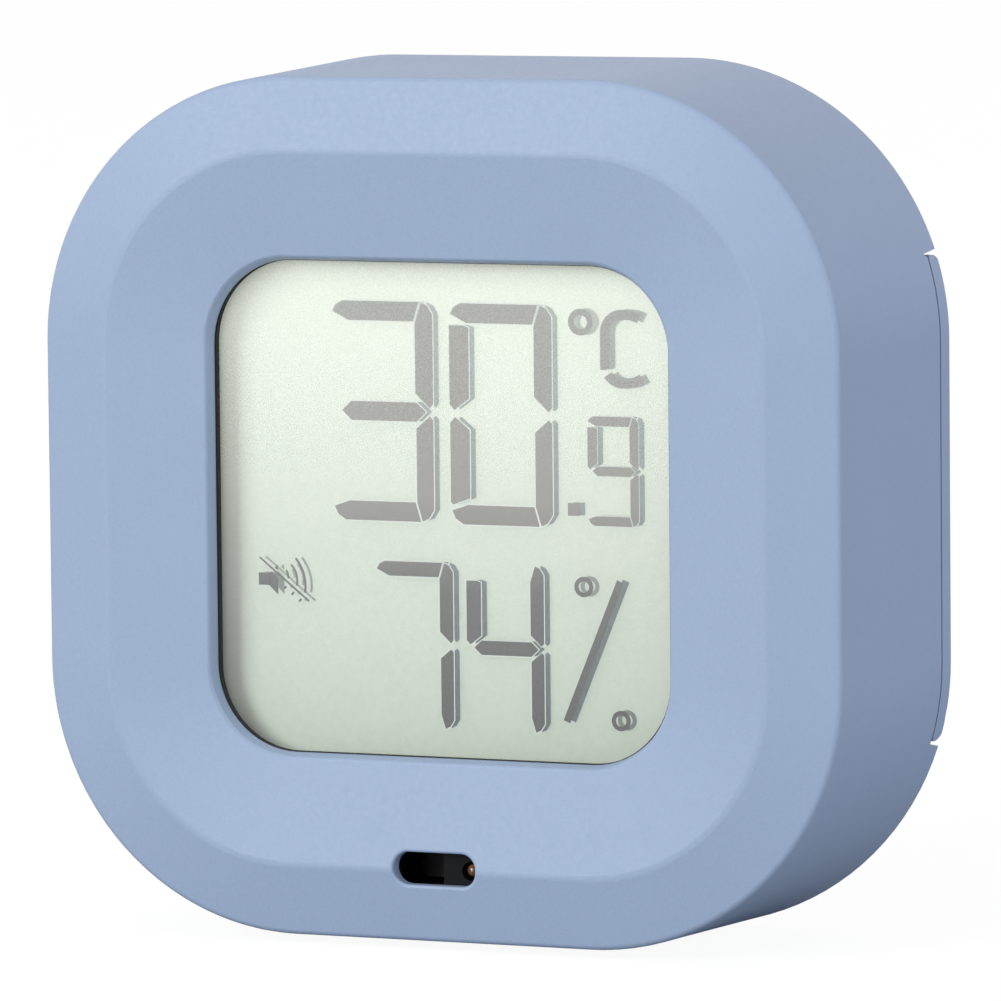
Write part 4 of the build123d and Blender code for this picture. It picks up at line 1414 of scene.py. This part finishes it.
@dataclass
class CarriedParts:
    """The finishes of the parts that come with the frame.

    Attributes:
        film_depth: How far into the front glass its film reaches, in metres.
        bead_length: How far the glass bead reaches back before its leads, in metres.
    """

    film_depth: float = 0.0001
    bead_length: float = 0.0019

    def jacket(self, name: str, turn: float) -> CellJacket:
        """Returns the jacket of a cell, with 1 if its plus end points to the right, else -1."""
        low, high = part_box(name)
        return CellJacket(
            name + "_jacket", (0.02, 0.05, 0.035), (0.62, 0.5, 0.2), (0.6, 0.6, 0.58),
            ((low[0] + high[0]) / 2, (low[2] + high[2]) / 2), (high[0] - low[0]) / 2, turn,
        )

    def finishes(self) -> dict[Finish, tuple[str, ...]]:
        """Returns each finish with the names of the parts that wear it."""
        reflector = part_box("display_reflector")
        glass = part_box("display_front_glass")
        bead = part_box("temperature_bead")
        foot, top = reflector[0][2], reflector[1][2]
        return {
            Moulding(
                "housing_grain", BODY_BLUE, speck=0.05, grain=0.0002, depth=0.000005,
                roughness=0.48, gloss=0.3,
            ): ("front_housing", "back_cover", "battery_cover", "table_stand"),
            Moulding(
                "button_satin", shade(BODY_BLUE, 1.08), grain=0.0003, depth=0.000003, roughness=0.38
            ): ("unit_button", "alarm_button"),
            Moulding("black_moulding", (0.012, 0.012, 0.013), speck=0.2, roughness=0.45): (
                "display_holder", "buzzer", "unit_switch", "alarm_switch",
            ),
            Moulding(
                "sensor_grey", (0.008, 0.008, 0.009), speck=0.35, grain=0.00012, roughness=0.5,
                gloss=0.08,
            ): ("sensor_holder",),
            Moulding("plunger_brown", (0.10, 0.045, 0.03), speck=0.1, roughness=0.4): (
                "unit_plunger", "alarm_plunger",
            ),
            Moulding(
                "chip_package", (0.03, 0.028, 0.026), speck=0.2, grain=0.0001, roughness=0.55
            ): ("board_chips",),
            Moulding("sensor_package", (0.02, 0.02, 0.022), grain=0.0001, roughness=0.5): (
                "humidity_chip",
            ),
            Moulding(
                "epoxy_drop", (0.008, 0.008, 0.009), speck=0.3, grain=0.0008, depth=0.00002,
                roughness=0.2,
            ): ("chip_blob",),
            # The anti-glare film shows more towards the top, as a painted reflection.
            DisplayGlass(
                "anti_glare_glass", (0.95, 0.98, 0.92), 0.004, 0.34, 0.06,
                glass[0][1] + self.film_depth, foot, top,
            ): ("display_front_glass",),
            DisplayGlass(
                "clear_glass", (0.8, 0.86, 0.8), 0.004, 0.0, 0.0, glass[0][1], foot, top, 0.15
            ): ("display_rear_glass",),
            # The film's three colours darken from top to foot as painted shade.
            ReflectorFilm(
                "reflector_film", (0.84, 0.89, 0.80), (0.78, 0.84, 0.74), (0.62, 0.70, 0.59),
                # The last colour is the film's painted glow at its top, though the film is no lamp.
                foot, top, (0.36, 0.385, 0.31),
            ): ("display_reflector",),
            Foam("black_foam", (0.012, 0.012, 0.012)): ("display_gasket",),
            LayeredRubber("layered_rubber", (0.62, 0.6, 0.52), (0.03, 0.03, 0.03)): (
                "display_connector",
            ),
            BoardMask("board_mask", (0.006, 0.008, 0.010), (0.022, 0.026, 0.03)): (
                "circuit_board",
            ),
            Metal("zinc_screw", (0.62, 0.62, 0.64)): ("cover_screws", "board_screws"),
            Metal("drawn_pin", (0.66, 0.66, 0.67), stretch=(0.05, 1.0, 1.0)): ("hinge_pins",),
            Metal("nickel_strip", (0.72, 0.70, 0.66), stretch=(1.0, 1.0, 0.1)): (
                "bridge_contact", "flat_contact", "spring_contact",
            ),
            Metal("tinned_can", (0.7, 0.7, 0.68), stretch=(0.1, 1.0, 1.0)): ("crystal",),
            self.jacket("upper_cell", 1.0): ("upper_cell",),
            self.jacket("lower_cell", -1.0): ("lower_cell",),
            AmberBead(
                "amber_bead", (0.30, 0.12, 0.04), (0.05, 0.015, 0.01), (0.6, 0.6, 0.58),
                bead[0][1] + self.bead_length,
            ): ("temperature_bead",),
        }

    def build(self, nodes: dict[str, Piece]) -> None:
        """Gives each of these carried-over parts, known by their names, its finish."""
        bare = set(nodes)
        for finish, names in self.finishes().items():
            material = finish.material()
            for name in names:
                wear(nodes[name], material)
                bare.remove(name)
                log.info("finish %s on %s", finish.name, name)
        if bare:
            raise ValueError(f"no finish for {sorted(bare)}")


def report(pieces: Iterable[Piece]) -> None:
    """Logs each new piece with its number of faces."""
    for piece in pieces:
        log.info("piece %s, %d faces", piece.name, len(piece.data.polygons))


def main() -> None:
    """Builds the studio, dresses the carried-over parts and adds the new pieces."""
    logging.basicConfig(level=logging.INFO, format="%(name)s: %(message)s")
    low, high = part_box("front_housing")
    Studio().build(Vector([(first + last) / 2 for first, last in zip(low, high)]))
    CarriedParts().build(frame["nodes"])
    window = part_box("display_gasket")
    middle = (window[0][2] + window[1][2]) / 2
    # Painted shadow of the signs, darker and denser towards the display's foot.
    painted_shadow_tones = ((0.14, 0.22, 0.29), (0.08, 0.11, 0.15))
    artwork = DisplayArtwork(
        depth=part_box("display_rear_glass")[0][1] - INK_RISE,
        painted_shadow_depth=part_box("display_reflector")[0][1] - PAINTED_SHADOW_RISE,
        middle=middle,
        # The ink darkens towards the display's foot as painted shade.
        ink=SegmentInk("segment_ink", (0.26, 0.235, 0.22), (0.055, 0.053, 0.054), 0.96, 0.96),
        edge=SegmentInk("segment_edges", (0.95, 0.98, 0.93), (0.95, 0.98, 0.93), 0.75, 0.75),
        painted_bold_shadow=SegmentInk("segment_painted_shadow", *painted_shadow_tones, 0.28, 0.46),
        painted_faint_shadow=SegmentInk("sign_painted_shadow", *painted_shadow_tones, 0.12, 0.15),
    )
    report(artwork.build())
    marks = BackMarks(
        finish=Moulding(
            "mark_print", (0.72, 0.74, 0.77), grain=0.0002, depth=0.000002, roughness=0.5
        ),
        cover_back=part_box("back_cover")[1][1],
        door_back=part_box("table_stand")[0][1] - STAND_GAP,
        middle=middle,
    )
    report(marks.build())


if __name__ == "__main__":
    main()
